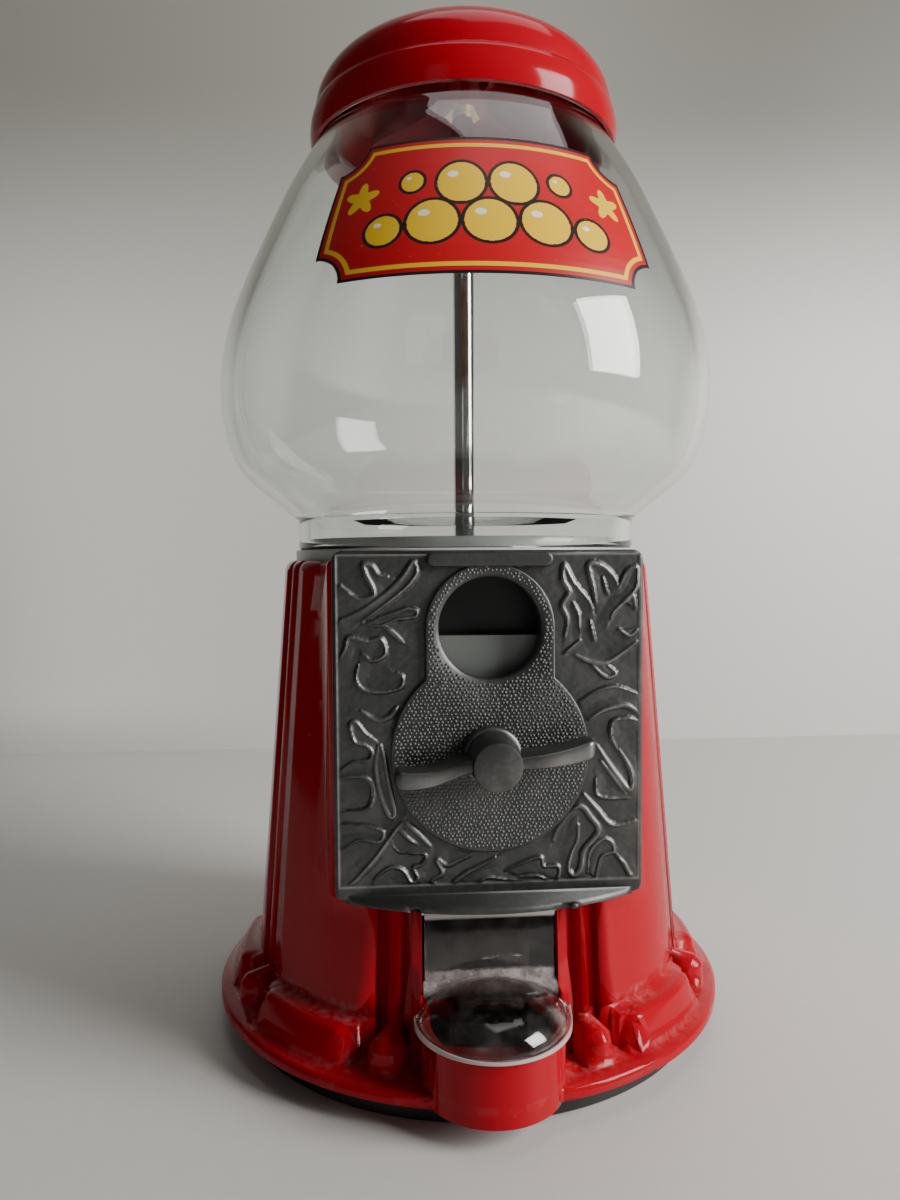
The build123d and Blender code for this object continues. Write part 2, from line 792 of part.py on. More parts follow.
def make_ratchet_pawl():
    """The pawl: a hub on its pin and an arm whose tip stands just clear of the ratchet teeth."""
    x, z = pawl_place()
    distance = math.hypot(x, z - axis_height)
    bearing = math.atan2(z - axis_height, x) + math.radians(34)
    tip = ratchet_radius + pawl_running_gap
    tip_x = tip * math.cos(bearing)
    tip_z = axis_height + tip * math.sin(bearing)
    out_x = (tip + pawl_width) * math.cos(bearing)
    out_z = axis_height + (tip + pawl_width) * math.sin(bearing)
    side = pawl_hub_radius * 0.9
    away_x = x + side * x / distance
    away_z = z + side * (z - axis_height) / distance
    near_x = x - side * x / distance * 0.4
    near_z = z - side * (z - axis_height) / distance * 0.4
    arm = make_face(Polyline((tip_x, tip_z), (out_x, out_z), (away_x, away_z), (near_x, near_z),
                             close=True))
    plan = arm + Pos(x, z) * Circle(pawl_hub_radius)
    front = ratchet_front - shaft_fit
    pawl = forward(plan, front - ratchet_thickness + 0.1, front)
    return pawl - disc_y(pawl_pin_radius + shaft_fit, front + 1, front - ratchet_thickness - 1, x, z)


def make_pawl_pin():
    """The pawl's shouldered pin, riveted in the housing's back wall."""
    x, z = pawl_place()
    pin = disc_y(pawl_pin_radius, housing_inner() - 0.2, ratchet_front - 2 * ratchet_thickness, x, z)
    head_front = ratchet_front - 2 * ratchet_thickness + 0.8
    return pin + disc_y(pawl_pin_radius + 0.8, head_front, head_front - 0.8, x, z)


def make_pawl_spring():
    """The pawl's torsion spring: two turns round the pin, with a leg over the pawl's back."""
    x, z = pawl_place()
    front = ratchet_front - ratchet_thickness - spring_wire
    radius = pawl_pin_radius + 2 * spring_wire
    ring = Torus(radius, spring_wire / 2)
    coils = Pos(x, -front + spring_wire / 2, z) * Rot(90, 0, 0) * ring
    coils += Pos(x, -front + spring_wire * 1.4, z) * Rot(90, 0, 0) * ring
    leg = Pos(x + radius, -front + spring_wire / 2, z - 3.5) * Cylinder(spring_wire / 2, 7)
    return coils + leg


def make_drive_gear():
    """The drive gear: straight teeth that reach up into the candy wheel's crown teeth."""
    gear = disc_y(gear_root_radius, gear_front, gear_front - gear_thickness, 0, axis_height)
    tooth = block(-gear_tooth_width / 2, gear_tooth_width / 2, -gear_front, -gear_front + gear_thickness,
                  gear_root_radius - 1.5, gear_tip_radius)
    tip = tooth.faces().sort_by(Axis.Z)[-1].edges().filter_by(Axis.Y)
    tooth = chamfer(tip, gear_tooth_width * 0.28)
    step = 360.0 / gear_teeth
    for index in range(gear_teeth):
        gear += Pos(0, 0, axis_height) * Rot(0, step * (index + 0.5), 0) * tooth
    dish = disc_y(gear_root_radius - 3.5, gear_front + 1, gear_front - gear_thickness + gear_web,
                  0, axis_height)
    dish -= disc_y(bushing_radius + 2.5, gear_front + 2, gear_front - gear_thickness, 0, axis_height)
    gear -= dish
    for index in range(6):
        window = disc_y(4.6, gear_front + 1, gear_front - gear_thickness - 1, 15.6, 0)
        gear -= Pos(0, 0, axis_height) * Rot(0, 60 * index + 30, 0) * window
    return gear - disc_y(shaft_radius + shaft_fit, gear_front + 1, gear_front - gear_thickness - 1,
                         0, axis_height)


# ---------------------------------------------------------------- hopper and candy wheel
def make_hopper():
    """The white dish: collar, channel for the crown teeth, outlet spout and gear window."""
    dish_foot = floor_top - channel_depth - hopper_floor_thickness
    shell = turned([
        (0, floor_top - hopper_floor_thickness), (0, floor_top),
        (channel_inner, floor_top), (channel_inner, floor_top - channel_depth),
        (channel_outer, floor_top - channel_depth), (channel_outer, floor_top),
        (hopper_radius - hopper_wall, floor_top), (hopper_radius - hopper_wall, collar_top),
        (collar_radius, collar_top), (collar_radius, body_top), (hopper_radius, body_top),
        (hopper_radius, floor_top - hopper_floor_thickness),
        (channel_outer + hopper_floor_thickness, floor_top - hopper_floor_thickness),
        (channel_outer + hopper_floor_thickness, dish_foot),
        (channel_inner - hopper_floor_thickness, dish_foot),
        (channel_inner - hopper_floor_thickness, floor_top - hopper_floor_thickness),
    ])
    shell = fillet(shell.edges().filter_by(GeomType.CIRCLE).filter_by(
        lambda edge: abs(edge.radius - collar_radius) < 1e-6).sort_by(Axis.Z)[-1], 0.6)
    upstand = neck_radius - glass_wall - handle_clearance
    ring = disc_z(upstand, collar_top - 1, collar_top + upstand_height)
    shell += ring - disc_z(upstand - upstand_wall, collar_top - 2, collar_top + upstand_height + 1)
    spout = disc_z(outlet_radius - spout_clearance, floor_top - hopper_floor_thickness - spout_length,
                   floor_top - 0.5, 0, -outlet_offset)
    shell += spout
    shell -= disc_z(outlet_radius - spout_clearance - 1.0, 0, collar_top, 0, -outlet_offset)
    reach = gear_tip_radius + window_clearance
    window = math.sqrt(reach ** 2 - (dish_foot - axis_height) ** 2)
    shell -= block(-window, window, -gear_front - 1.8 * window_clearance,
                   -gear_front + gear_thickness + window_clearance, dish_foot - 1, floor_top + 1)
    return shell - disc_z(rod_radius + rod_bore_clearance, 0, collar_top)


def make_candy_wheel():
    """The candy wheel: pockets for the sweets, crown teeth below, a domed hub above."""
    foot = floor_top + wheel_gap
    top = foot + wheel_thickness
    radius = hopper_radius - hopper_wall - wheel_edge_gap
    wheel = turned([(0, foot), (radius, foot), (radius, top), (wheel_hub_radius, top),
                    (rod_radius + 2, top + wheel_hub_rise), (0, top + wheel_hub_rise)])
    tooth = block(-crown_tooth_width / 2, crown_tooth_width / 2, -crown_outer, -crown_inner,
                  foot - crown_depth, foot + 0.5)
    for index in range(crown_teeth):
        wheel += Rot(0, 0, index * 360.0 / crown_teeth) * tooth
    for index in range(wheel_pockets):
        azimuth = math.radians(index * 360.0 / wheel_pockets)
        wheel -= disc_z(pocket_radius, foot - 1, top + 1, outlet_offset * math.sin(azimuth),
                        -outlet_offset * math.cos(azimuth))
    return wheel - disc_z(rod_radius + rod_bore_clearance, 0, collar_top)


def make_candy_guard():
    """The guard over the outlet, clipped under the collar, which lets one pocket empty at a time."""
    top = floor_top + wheel_gap + wheel_thickness
    half = pocket_radius + 1.5
    outer = hopper_radius - hopper_wall - 0.1
    inner = outlet_offset - pocket_radius - 2.0
    plan = Pos(0, -(outer + inner) / 2) * Rectangle(2 * half, outer - inner)
    plan += Pos(0, -inner) * Circle(half)
    plan -= Circle(wheel_hub_radius + 1)
    plan &= Circle(outer)
    guard = extrude(Pos(0, 0, top + guard_gap) * plan, amount=guard_thickness)
    wall = disc_z(outer, top + guard_gap, collar_top) - disc_z(outer - guard_thickness, 0, collar_top + 1)
    wall &= block(-half, half, -outer - 1, -outer + 12, 0, collar_top)
    return guard + wall


# ---------------------------------------------------------------- globe
def globe_curve():
    """The outside of the glass, from the neck up to the mouth."""
    foot = glass_foot
    return Spline(
        (neck_radius, foot + neck_height),
        (neck_radius + 5.8, foot + neck_height + 4.9),
        (belly_radius - 4.6, foot + neck_height + 15.1),
        (belly_radius, foot + belly_height),
        (belly_radius - 3.2, foot + belly_height + 22.5),
        (belly_radius - 16.4, foot + belly_height + 53.1),
        (mouth_radius + 6.0, foot + mouth_height - 9.2),
        (mouth_radius, foot + mouth_height),
        tangents=((0.2, 1.0), (-0.75, 1.0)),
    )


def make_globe():
    """The glass globe: its wall is the outer curve moved inwards along its own normal."""
    curve = globe_curve()
    steps = 14
    inner = []
    for index in range(steps + 1):
        place = curve @ (index / steps)
        way = curve % (index / steps)
        inner.append((place.X - glass_wall * way.Y, place.Y + glass_wall * way.X))
    foot = glass_foot
    neck = neck_radius - glass_wall
    inner[0] = (neck, foot + neck_height)
    top = curve @ 1
    start = curve @ 0
    lines = [
        Line((neck, foot), (neck_radius, foot)),
        Line((neck_radius, foot), (start.X, start.Y)),
        curve,
        Line((top.X, top.Y), inner[-1]),
        Spline(*reversed(inner)),
        Line(inner[0], (neck, foot)),
    ]
    globe = revolve(Plane.XZ * make_face(lines), axis=Axis.Z)
    rim_x = (top.X + inner[-1][0]) / 2
    rim_z = (top.Y + inner[-1][1]) / 2
    return globe + Pos(0, 0, rim_z) * Torus(rim_x, lip_bead)


# ---------------------------------------------------------------- lid
def dome_points(radius, foot, top):
    """Points up a superellipse from its foot to its crown."""
    count = 9
    points = []
    for index in range(count + 1):
        angle = math.pi / 2 * index / count
        across = radius * math.cos(angle) ** (2 / lid_power)
        points.append((max(across, 0.0), foot + (top - foot) * math.sin(angle) ** (2 / lid_power)))
    points[-1] = (0.0, top)
    return points


def lid_section(inset, rim):
    """The lid's half section, or the hollow in it when inset is the wall."""
    crease = lid_rim_radius - 2 * lid_crease_step
    band = [(lid_rim_radius - rim, lid_rim_height - (1 if inset else 0)),
            (lid_rim_radius + lid_band_bulge - inset, lid_rim_height + 3.8),
            (crease + lid_crease_step - inset, lid_crease_height)]
    dome = dome_points(crease - inset, lid_crease_height, lid_top - inset)
    lines = [
        Line((0, band[0][1]), band[0]),
        Spline(*band),
        Line(band[-1], dome[0]),
        Spline(*dome, tangents=((0, 1), (-1, 0))),
        Line(dome[-1], (0, band[0][1])),
    ]
    return Plane.XZ * make_face(lines)


def nut_section(flats):
    return RegularPolygon(flats / 2, 6, major_radius=False)


def make_lid():
    """The lid: a thin cap with a creased band, a ribbed boss and a ring that seats on the mouth."""
    cap = revolve(lid_section(0.0, 0.0), axis=Axis.Z)
    hollow = revolve(lid_section(lid_wall, lid_rim_wall), axis=Axis.Z)
    seat = globe_top() + handle_clearance
    boss = disc_z(lid_boss_radius, lid_boss_foot, lid_top - lid_wall)
    ring = disc_z(mouth_radius, seat, lid_top) - disc_z(mouth_radius - lid_seat_ring, seat - 1, lid_top)
    ribs = ring
    for index in range(lid_boss_ribs):
        rib = block(lid_boss_radius - 1, mouth_radius - 1, -0.8, 0.8, lid_boss_foot + 5, lid_top)
        ribs += Rot(0, 0, index * 360.0 / lid_boss_ribs) * rib
    inside = (boss + ribs) & hollow
    cap = cap - hollow + inside
    nut_foot = lid_boss_foot
    cap -= extrude(Pos(0, 0, nut_foot) * nut_section(nut_flats + 0.1), amount=nut_height + 0.05)
    return cap - disc_z(rod_radius + rod_bore_clearance, lid_boss_foot - 1, rod_top() + 0.5)


def globe_top():
    top = globe_curve() @ 1
    way = globe_curve() % 1
    return top.Y + glass_wall / 2 * way.X + lip_bead


def make_lid_nut():
    nut = extrude(Pos(0, 0, lid_boss_foot) * nut_section(nut_flats), amount=nut_height)
    return nut - disc_z(rod_radius + rod_fit, 0, lid_top)


def rod_top():
    return lid_boss_foot + rod_thread_length - 4.0


# ---------------------------------------------------------------- rod and fasteners
def nut_seat():
    return plate_height - plate_floor


def make_centre_rod():
    foot = nut_seat() - rod_washer_thickness - rod_nut_height - 0.4
    rod = disc_z(rod_radius, foot, rod_top())
    return chamfer(rod.edges().group_by(Axis.Z)[-1] + rod.edges().group_by(Axis.Z)[0], 0.4)


def make_rod_washer():
    washer = disc_z(rod_washer_radius, nut_seat() - rod_washer_thickness, nut_seat())
    return washer - disc_z(rod_radius + rod_fit, 0, plate_height)


def make_rod_nut():
    top = nut_seat() - rod_washer_thickness
    nut = extrude(Pos(0, 0, top - rod_nut_height) * nut_section(rod_nut_flats), amount=rod_nut_height)
    return nut - disc_z(rod_radius + rod_fit, 0, plate_height)


# ---------------------------------------------------------------- chute
def chute_side(inset):
    """The chute's side view: an upright shaft that bends forward to the tray."""
    half = chute_half_depth + chute_wall - inset
    top = floor_top - hopper_floor_thickness - spout_clearance
    slope = math.radians(chute_slope)
    end = chute_end + (2 if inset else 0)
    drop = (end - outlet_offset) * math.tan(slope)
    across = half / math.cos(slope)
    bend = chute_bend_height
    lift = 2 if inset else 0
    rise = half * math.tan(slope)
    return make_face(Polyline(
        (-outlet_offset + half, top + lift),
        (-outlet_offset + half, bend - across + rise),
        (-end, bend - drop - across),
        (-end, bend - drop + across),
        (-outlet_offset - half, bend + across - rise),
        (-outlet_offset - half, top + lift),
        close=True))


def make_chute():
    half = chute_half_width
    outer = extrude(Plane.YZ * chute_side(0), amount=half + chute_wall, both=True)
    inner = extrude(Plane.YZ * chute_side(chute_wall), amount=half, both=True)
    foot = block(-1.2, 1.2, -outlet_offset - 4, -outlet_offset + chute_half_depth + chute_wall,
                 plate_height, chute_bend_height - 8)
    return (outer + foot) - inner


# ---------------------------------------------------------------- flap
def flap_tilt(shape, lift=0.0):
    """Lay a shape made flat at height zero on the tray's sloping rim."""
    front = flange_base + tray_front_height + lift
    return Pos(0, -tray_reach, front) * Rot(tray_rim_angle(), 0, 0) * Pos(0, tray_reach, 0) * shape


def make_flap():
    """The clear flap: knuckle, flat panel, round lower part and a hollow dome."""
    lean = math.degrees(math.atan(wall_slope))
    length = flap_pin_height - flange_base - tray_side_height
    panel = Pos(0, -flap_pin_depth, flap_pin_height) * Rot(-lean, 0, 0) * block(
        -flap_half_width, flap_half_width, -flap_thickness / 2, flap_thickness / 2,
        flap_seat_gap - length, 0)
    knuckle = flap_pin_line(flap_knuckle_radius, 2 * flap_half_width)
    wall_front = outer_radius(flange_base + tray_side_height) + flap_wall_gap
    plate = Pos(0, -flap_disc_centre) * Circle(flap_disc_radius)
    plate -= Pos(0, -wall_front + beyond / 2) * Rectangle(2 * beyond, beyond)
    back = flap_pin_depth + length * wall_slope
    plate += Pos(0, -(flap_disc_centre + back) / 2) * Rectangle(2 * flap_half_width,
                                                              flap_disc_centre - back)
    shelf = flap_tilt(extrude(plate, amount=flap_thickness), flap_seat_gap)
    squash = flap_dome_height / flap_dome_radius
    dome = scale(Sphere(flap_dome_radius), by=(1, 1, squash))
    hollow = scale(Sphere(flap_dome_radius - flap_dome_wall), by=(1, 1, squash))
    lower = block(-beyond, beyond, -beyond, beyond, -beyond, 0)
    dome = flap_tilt(Pos(0, -flap_dome_centre, 0) * (dome - lower), flap_seat_gap)
    hollow = flap_tilt(Pos(0, -flap_dome_centre, 0) * (hollow - Pos(0, 0, -1) * lower), flap_seat_gap)
    behind = Pos(0, -flap_pin_depth, flap_pin_height) * Rot(-lean, 0, 0) * block(
        -beyond, beyond, -flap_thickness / 2, beyond, -beyond, beyond)
    beside = block(-beyond, -flap_half_width, -wall_front, beyond, -beyond, beyond)
    dome -= behind + beside + mirror(beside, Plane.YZ)
    flap = panel + knuckle + shelf + dome
    flap -= hollow - behind
    return flap - flap_pin_line(flap_pin_radius + shaft_fit, beyond)


def make_flap_hinge_pin():
    return flap_pin_line(flap_pin_radius, flap_pin_length())


MAKERS = {
    "body_shell": make_body_shell,
    "body_flange": make_body_flange,
    "bottom_plate": make_bottom_plate,
    "face_plate": make_face_plate,
    "plate_screws": make_plate_screws,
    "coin_housing": make_coin_housing,
    "housing_screws": make_housing_screws,
    "coin_wheel": make_coin_wheel,
    "handle": make_handle,
    "drive_shaft": make_drive_shaft,
    "shaft_clip": make_shaft_clip,
    "ratchet_wheel": make_ratchet_wheel,
    "ratchet_pawl": make_ratchet_pawl,
    "pawl_pin": make_pawl_pin,
    "pawl_spring": make_pawl_spring,
    "drive_gear": make_drive_gear,
    "hopper": make_hopper,
    "candy_wheel": make_candy_wheel,
    "candy_guard": make_candy_guard,
    "globe": make_globe,
    "lid": make_lid,
    "lid_nut": make_lid_nut,
    "centre_rod": make_centre_rod,
    "rod_washer": make_rod_washer,
    "rod_nut": make_rod_nut,
    "chute": make_chute,
    "flap": make_flap,
    "flap_hinge_pin": make_flap_hinge_pin,
}

os.makedirs("parts", exist_ok=True)
for name, maker in MAKERS.items():
    export_step(maker(), f"parts/{name}.step")
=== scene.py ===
"""Finish and lighting for the small red gumball machine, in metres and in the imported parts' frame."""
import json
import math
import random

import bmesh
import bpy
import numpy as np
from mathutils import Matrix, Vector


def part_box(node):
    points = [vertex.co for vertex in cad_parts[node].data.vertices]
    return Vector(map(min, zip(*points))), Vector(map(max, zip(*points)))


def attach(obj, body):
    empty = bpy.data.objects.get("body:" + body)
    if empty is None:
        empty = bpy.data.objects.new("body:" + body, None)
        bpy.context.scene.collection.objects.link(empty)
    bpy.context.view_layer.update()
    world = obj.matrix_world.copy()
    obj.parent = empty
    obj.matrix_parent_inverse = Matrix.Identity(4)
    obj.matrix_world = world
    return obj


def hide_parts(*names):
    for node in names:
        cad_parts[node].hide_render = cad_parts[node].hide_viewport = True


MM = 0.001
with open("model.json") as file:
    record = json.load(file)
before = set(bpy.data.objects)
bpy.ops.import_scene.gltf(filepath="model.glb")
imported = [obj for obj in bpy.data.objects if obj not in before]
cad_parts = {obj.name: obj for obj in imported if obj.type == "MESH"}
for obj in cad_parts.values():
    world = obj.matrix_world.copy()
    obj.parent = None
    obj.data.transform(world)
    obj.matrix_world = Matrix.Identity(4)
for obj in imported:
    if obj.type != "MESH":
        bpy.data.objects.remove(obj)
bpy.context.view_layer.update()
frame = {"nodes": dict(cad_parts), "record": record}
nodes = frame["nodes"]


def corners(name):
    """A CAD node's lowest and highest corners at rest, in millimetres."""
    return [[round(value / MM, 3) for value in corner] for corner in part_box(name)]


def joint_centre(name):
    """The point that a joint turns about, in millimetres."""
    joint = next(item for item in frame["record"]["behaviour"]["joints"] if item["name"] == name)
    return [round(value / MM, 3) for value in joint["pos_m"]]


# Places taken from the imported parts, in millimetres
(_, _, hood_low), (plate_half, _, plate_high) = corners("face_plate")
(_, hub_front, _), (_, hub_back, _) = corners("handle")
tray_front = corners("body_flange")[0][1]
glass_foot = corners("globe")[0][2]
axis_height = joint_centre("handle_turn")[2]
_, hinge_depth, hinge_height = joint_centre("flap_swing")

# Sizes of the front plate, in millimetres
plate_front = 60.0
plate_low = 50.6
boss_front = 61.4
boss_radius = 23.6
lobe_radius = 15.4
hole_radius = 12.2
hole_height = 115.2
bar_length = 30.0
bar_height = 3.6
bar_centre = 131.4

# Sizes of the globe's glass and of the flap, in millimetres
glass_wall = 3.0
neck_radius = 49.6
neck_height = 8.6
mouth_bead = 1.7
flap_centre = -62.8
flap_radius = 18.8
dome_radius = 18.15
dome_height = 9.6
dome_foot = 21.9
dome_wall = 1.4
rim_thickness = 1.8
panel_half = 15.9
panel_face = -57.9
panel_length = 20.6
panel_thickness = 1.8
panel_slope = 0.0797
knuckle_radius = 2.0

# Sizes of the flange, its feet, its raised arcs and its tray, in millimetres and degrees
lip_top = 10.2
ring_top = 19.4
cluster_step = 45.0
foot_half = 4.3
foot_start = 65.6
foot_front = 70.0
foot_bow = 2.6
foot_fall = 2.0
arc_soft = 9.8
arc_end = 15.3
arc_draw = 2.4
arc_fall = 1.8
tray_outside = 18.3
tray_back = -61.0
tray_low = 20.55


# ---------------------------------------------------------------- shader helpers
def node(tree, kind, inputs=None, **settings):
    """Adds a shader node; a socket given as an input is linked, any other value is set."""
    made = tree.nodes.new(kind)
    for key, value in settings.items():
        setattr(made, key, value)
    for key, value in (inputs or {}).items():
        put(tree, value, made.inputs[key])
    return made


def put(tree, value, socket):
    """Links a socket or sets a constant."""
    if isinstance(value, bpy.types.NodeSocket):
        tree.links.new(value, socket)
    elif isinstance(value, tuple) and len(value) == 3 and socket.type == "RGBA":
        socket.default_value = (*value, 1.0)
    else:
        socket.default_value = value


def calc(tree, operation, first, second=0.0, third=0.0, clamp=False):
    """One sum on numbers or sockets."""
    made = node(tree, "ShaderNodeMath", {0: first, 1: second, 2: third}, operation=operation)
    made.use_clamp = clamp
    return made.outputs[0]


def times(tree, first, second):
    """Two numbers or sockets multiplied."""
    return calc(tree, "MULTIPLY", first, second)


def spread(tree, value, low, high, to_low=0.0, to_high=1.0):
    """Maps low..high smoothly to to_low..to_high, held at both ends."""
    made = node(tree, "ShaderNodeMapRange",
                {"Value": value, "From Min": low, "From Max": high, "To Min": to_low, "To Max": to_high},
                interpolation_type="SMOOTHSTEP")
    return made.outputs["Result"]


def noise(tree, place, scale, detail=3.0, roughness=0.55):
    """Even noise from 0 to 1 at a place."""
    return node(tree, "ShaderNodeTexNoise", {"Vector": place, "Scale": scale, "Detail": detail,
                                             "Roughness": roughness}).outputs["Fac"]


def blend(tree, factor, first, second):
    """Mixes two colours."""
    made = node(tree, "ShaderNodeMix", data_type="RGBA", blend_type="MIX")
    colours = [item for item in made.inputs if item.type == "RGBA"]
    put(tree, factor, made.inputs[0])
    put(tree, first, colours[0])
    put(tree, second, colours[1])
    return next(item for item in made.outputs if item.type == "RGBA")


def new_material(name, **sockets):
    """A material with one Principled shader, its plain values set on its own sockets."""
    made = bpy.data.materials.new(name)
    made.use_nodes = True
    tree = made.node_tree
    shader = next(item for item in tree.nodes if item.type == "BSDF_PRINCIPLED")
    for key, value in sockets.items():
        put(tree, value, shader.inputs[key.replace("_", " ")])
    place = node(tree, "ShaderNodeTexCoord").outputs["Object"]
    return made, tree, shader, place


def bump(tree, shader, height, strength, distance):
    """Roughens the shaded surface by a height."""
    made = node(tree, "ShaderNodeBump", {"Height": height, "Strength": strength, "Distance": distance})
    tree.links.new(made.outputs["Normal"], shader.inputs["Normal"])


def places_of(tree, place):
    """The x, y, z and distance from the upright axis of a place."""
    split = node(tree, "ShaderNodeSeparateXYZ", {0: place})
    x, y, z = split.outputs
    across = calc(tree, "SQRT", calc(tree, "ADD", times(tree, x, x), times(tree, y, y)))
    return x, y, z, across


def band(tree, value, middle, half):
    """One where value is at the middle, falling to nothing at half a width away."""
    away = calc(tree, "ABSOLUTE", calc(tree, "SUBTRACT", value, middle))
    return spread(tree, away, half * 0.35, half, 1.0, 0.0)


# ---------------------------------------------------------------- materials
def make_red_enamel(name, colour, scuffs, dusty):
    """Gloss enamel with faint orange peel, light scuffs, and dust in the corners of the flange."""
    made, tree, shader, place = new_material(name, Coat_Weight=0.03, Coat_Roughness=0.04,
                                             Specular_IOR_Level=0.15)
    _, _, z, across = places_of(tree, place)
    shade = noise(tree, place, 14.0, 2.0)
    tone = blend(tree, shade, tuple(part * 0.9 for part in colour), tuple(part * 1.1 for part in colour))
    marks = spread(tree, noise(tree, place, 150.0, 9.0, 0.78), 0.64, 0.70)
    cloud = spread(tree, noise(tree, place, 22.0, 2.0), 0.45, 0.62)
    worn = times(tree, times(tree, marks, cloud), scuffs)
    tone = blend(tree, worn, tone, (0.55, 0.30, 0.29))
    rough = calc(tree, "ADD", 0.09, times(tree, shade, 0.08))
    rough = calc(tree, "ADD", rough, times(tree, worn, 0.5))
    if dusty:
        on_ring = times(tree, band(tree, z, 19.6 * MM, 3.0 * MM), band(tree, across, 62.4 * MM, 4.2 * MM))
        near_ring = spread(tree, across, 69 * MM, 72 * MM, 1.0, 0.25)
        on_lip = times(tree, band(tree, z, 10.6 * MM, 1.3 * MM), near_ring)
        corner = calc(tree, "MAXIMUM", on_ring, times(tree, on_lip, 0.7))
        speck = spread(tree, noise(tree, place, 420.0, 6.0, 0.6), 0.36, 0.66)
        patch = spread(tree, noise(tree, place, 60.0, 3.0), 0.36, 0.6)
        dust = times(tree, times(tree, corner, times(tree, speck, patch)), 0.34)
        tone = blend(tree, dust, tone, (0.46, 0.28, 0.26))
        rough = calc(tree, "ADD", rough, times(tree, dust, 0.7))
    put(tree, tone, shader.inputs["Base Color"])
    put(tree, rough, shader.inputs["Roughness"])
    bump(tree, shader, noise(tree, place, 380.0, 2.0), 0.10, 0.06 * MM)
    return made


def make_pewter(name, dark, bright, polish, base_rubbed=0.0, dull=0.40):
    """Dark cast pewter: grainy, rubbed bright where the surface stands proud."""
    made, tree, shader, place = new_material(name, Metallic=0.9)
    grain = noise(tree, place, 1400.0, 6.0, 0.7)
    cloud = noise(tree, place, 110.0, 5.0, 0.62)
    proud = node(tree, "ShaderNodeAttribute", attribute_name="rubbed").outputs["Fac"]
    patchy = spread(tree, cloud, 0.42, 0.70, base_rubbed, base_rubbed + polish)
    worn = times(tree, proud, spread(tree, cloud, 0.3, 0.62, 0.55, 1.0))
    amount = calc(tree, "ADD", calc(tree, "MAXIMUM", patchy, worn), times(tree, grain, 0.16), clamp=True)
    put(tree, blend(tree, amount, dark, bright), shader.inputs["Base Color"])
    rough = calc(tree, "ADD", dull, times(tree, grain, 0.16))
    rough = calc(tree, "SUBTRACT", rough, times(tree, amount, 0.20))
    put(tree, rough, shader.inputs["Roughness"])
    bump(tree, shader, grain, 0.30, 0.05 * MM)
    return made


def make_moulded(name, colour, rough, peel=0.15, mottling=0.05, **sockets):
    """Moulded plastic or plain casting with faint mottling and a fine surface grain."""
    made, tree, shader, place = new_material(name, **sockets)
    shade = noise(tree, place, 60.0, 4.0)
    low = tuple(part * (1 - mottling) for part in colour)
    high = tuple(min(part * (1 + mottling), 1.0) for part in colour)
    put(tree, blend(tree, shade, low, high), shader.inputs["Base Color"])
    put(tree, calc(tree, "ADD", rough - 0.04, times(tree, shade, 0.08)), shader.inputs["Roughness"])
    bump(tree, shader, noise(tree, place, 1100.0, 3.0), peel, 0.03 * MM)
    return made


def make_drawn_metal(name, colour, rough, along):
    """Bright metal with faint marks along its length."""
    made, tree, shader, place = new_material(name, Metallic=1.0)
    stretch = {"x": (0.05, 1, 1), "y": (1, 0.05, 1), "z": (1, 1, 0.05)}[along]
    drawn = node(tree, "ShaderNodeMapping", {"Vector": place, "Scale": stretch}).outputs["Vector"]
    marks = noise(tree, drawn, 1500.0, 4.0)
    put(tree, blend(tree, marks, tuple(part * 0.84 for part in colour), colour), shader.inputs["Base Color"])
    put(tree, calc(tree, "ADD", rough, times(tree, marks, 0.08)), shader.inputs["Roughness"])
    bump(tree, shader, marks, 0.05, 0.02 * MM)
    return made


def make_clear(name, tint, rough, smear, wave, ior=1.5):
    """Clear glass with painted shade darkening its edge at glancing angles, faint smears, slight waves and
    fine marks.
    """
    made, tree, shader, place = new_material(name, Transmission_Weight=1.0, IOR=ior)
    # Painted shade: the colour darkens where the glass is seen edge-on, towards its outline.
    facing = node(tree, "ShaderNodeLayerWeight", {"Blend": 0.5}).outputs["Facing"]
    edge = tuple(part * 0.74 for part in tint)
    put(tree, blend(tree, spread(tree, facing, 0.78, 0.97), tint, edge), shader.inputs["Base Color"])
    smears = spread(tree, noise(tree, place, 55.0, 6.0, 0.65), 0.5, 0.75, rough, rough + smear)
    marks = spread(tree, noise(tree, place, 520.0, 7.0, 0.8), 0.66, 0.72, 0.0, smear * 2)
    put(tree, calc(tree, "ADD", smears, marks), shader.inputs["Roughness"])
    bump(tree, shader, noise(tree, place, 22.0, 2.0), wave, 0.4 * MM)
    return made


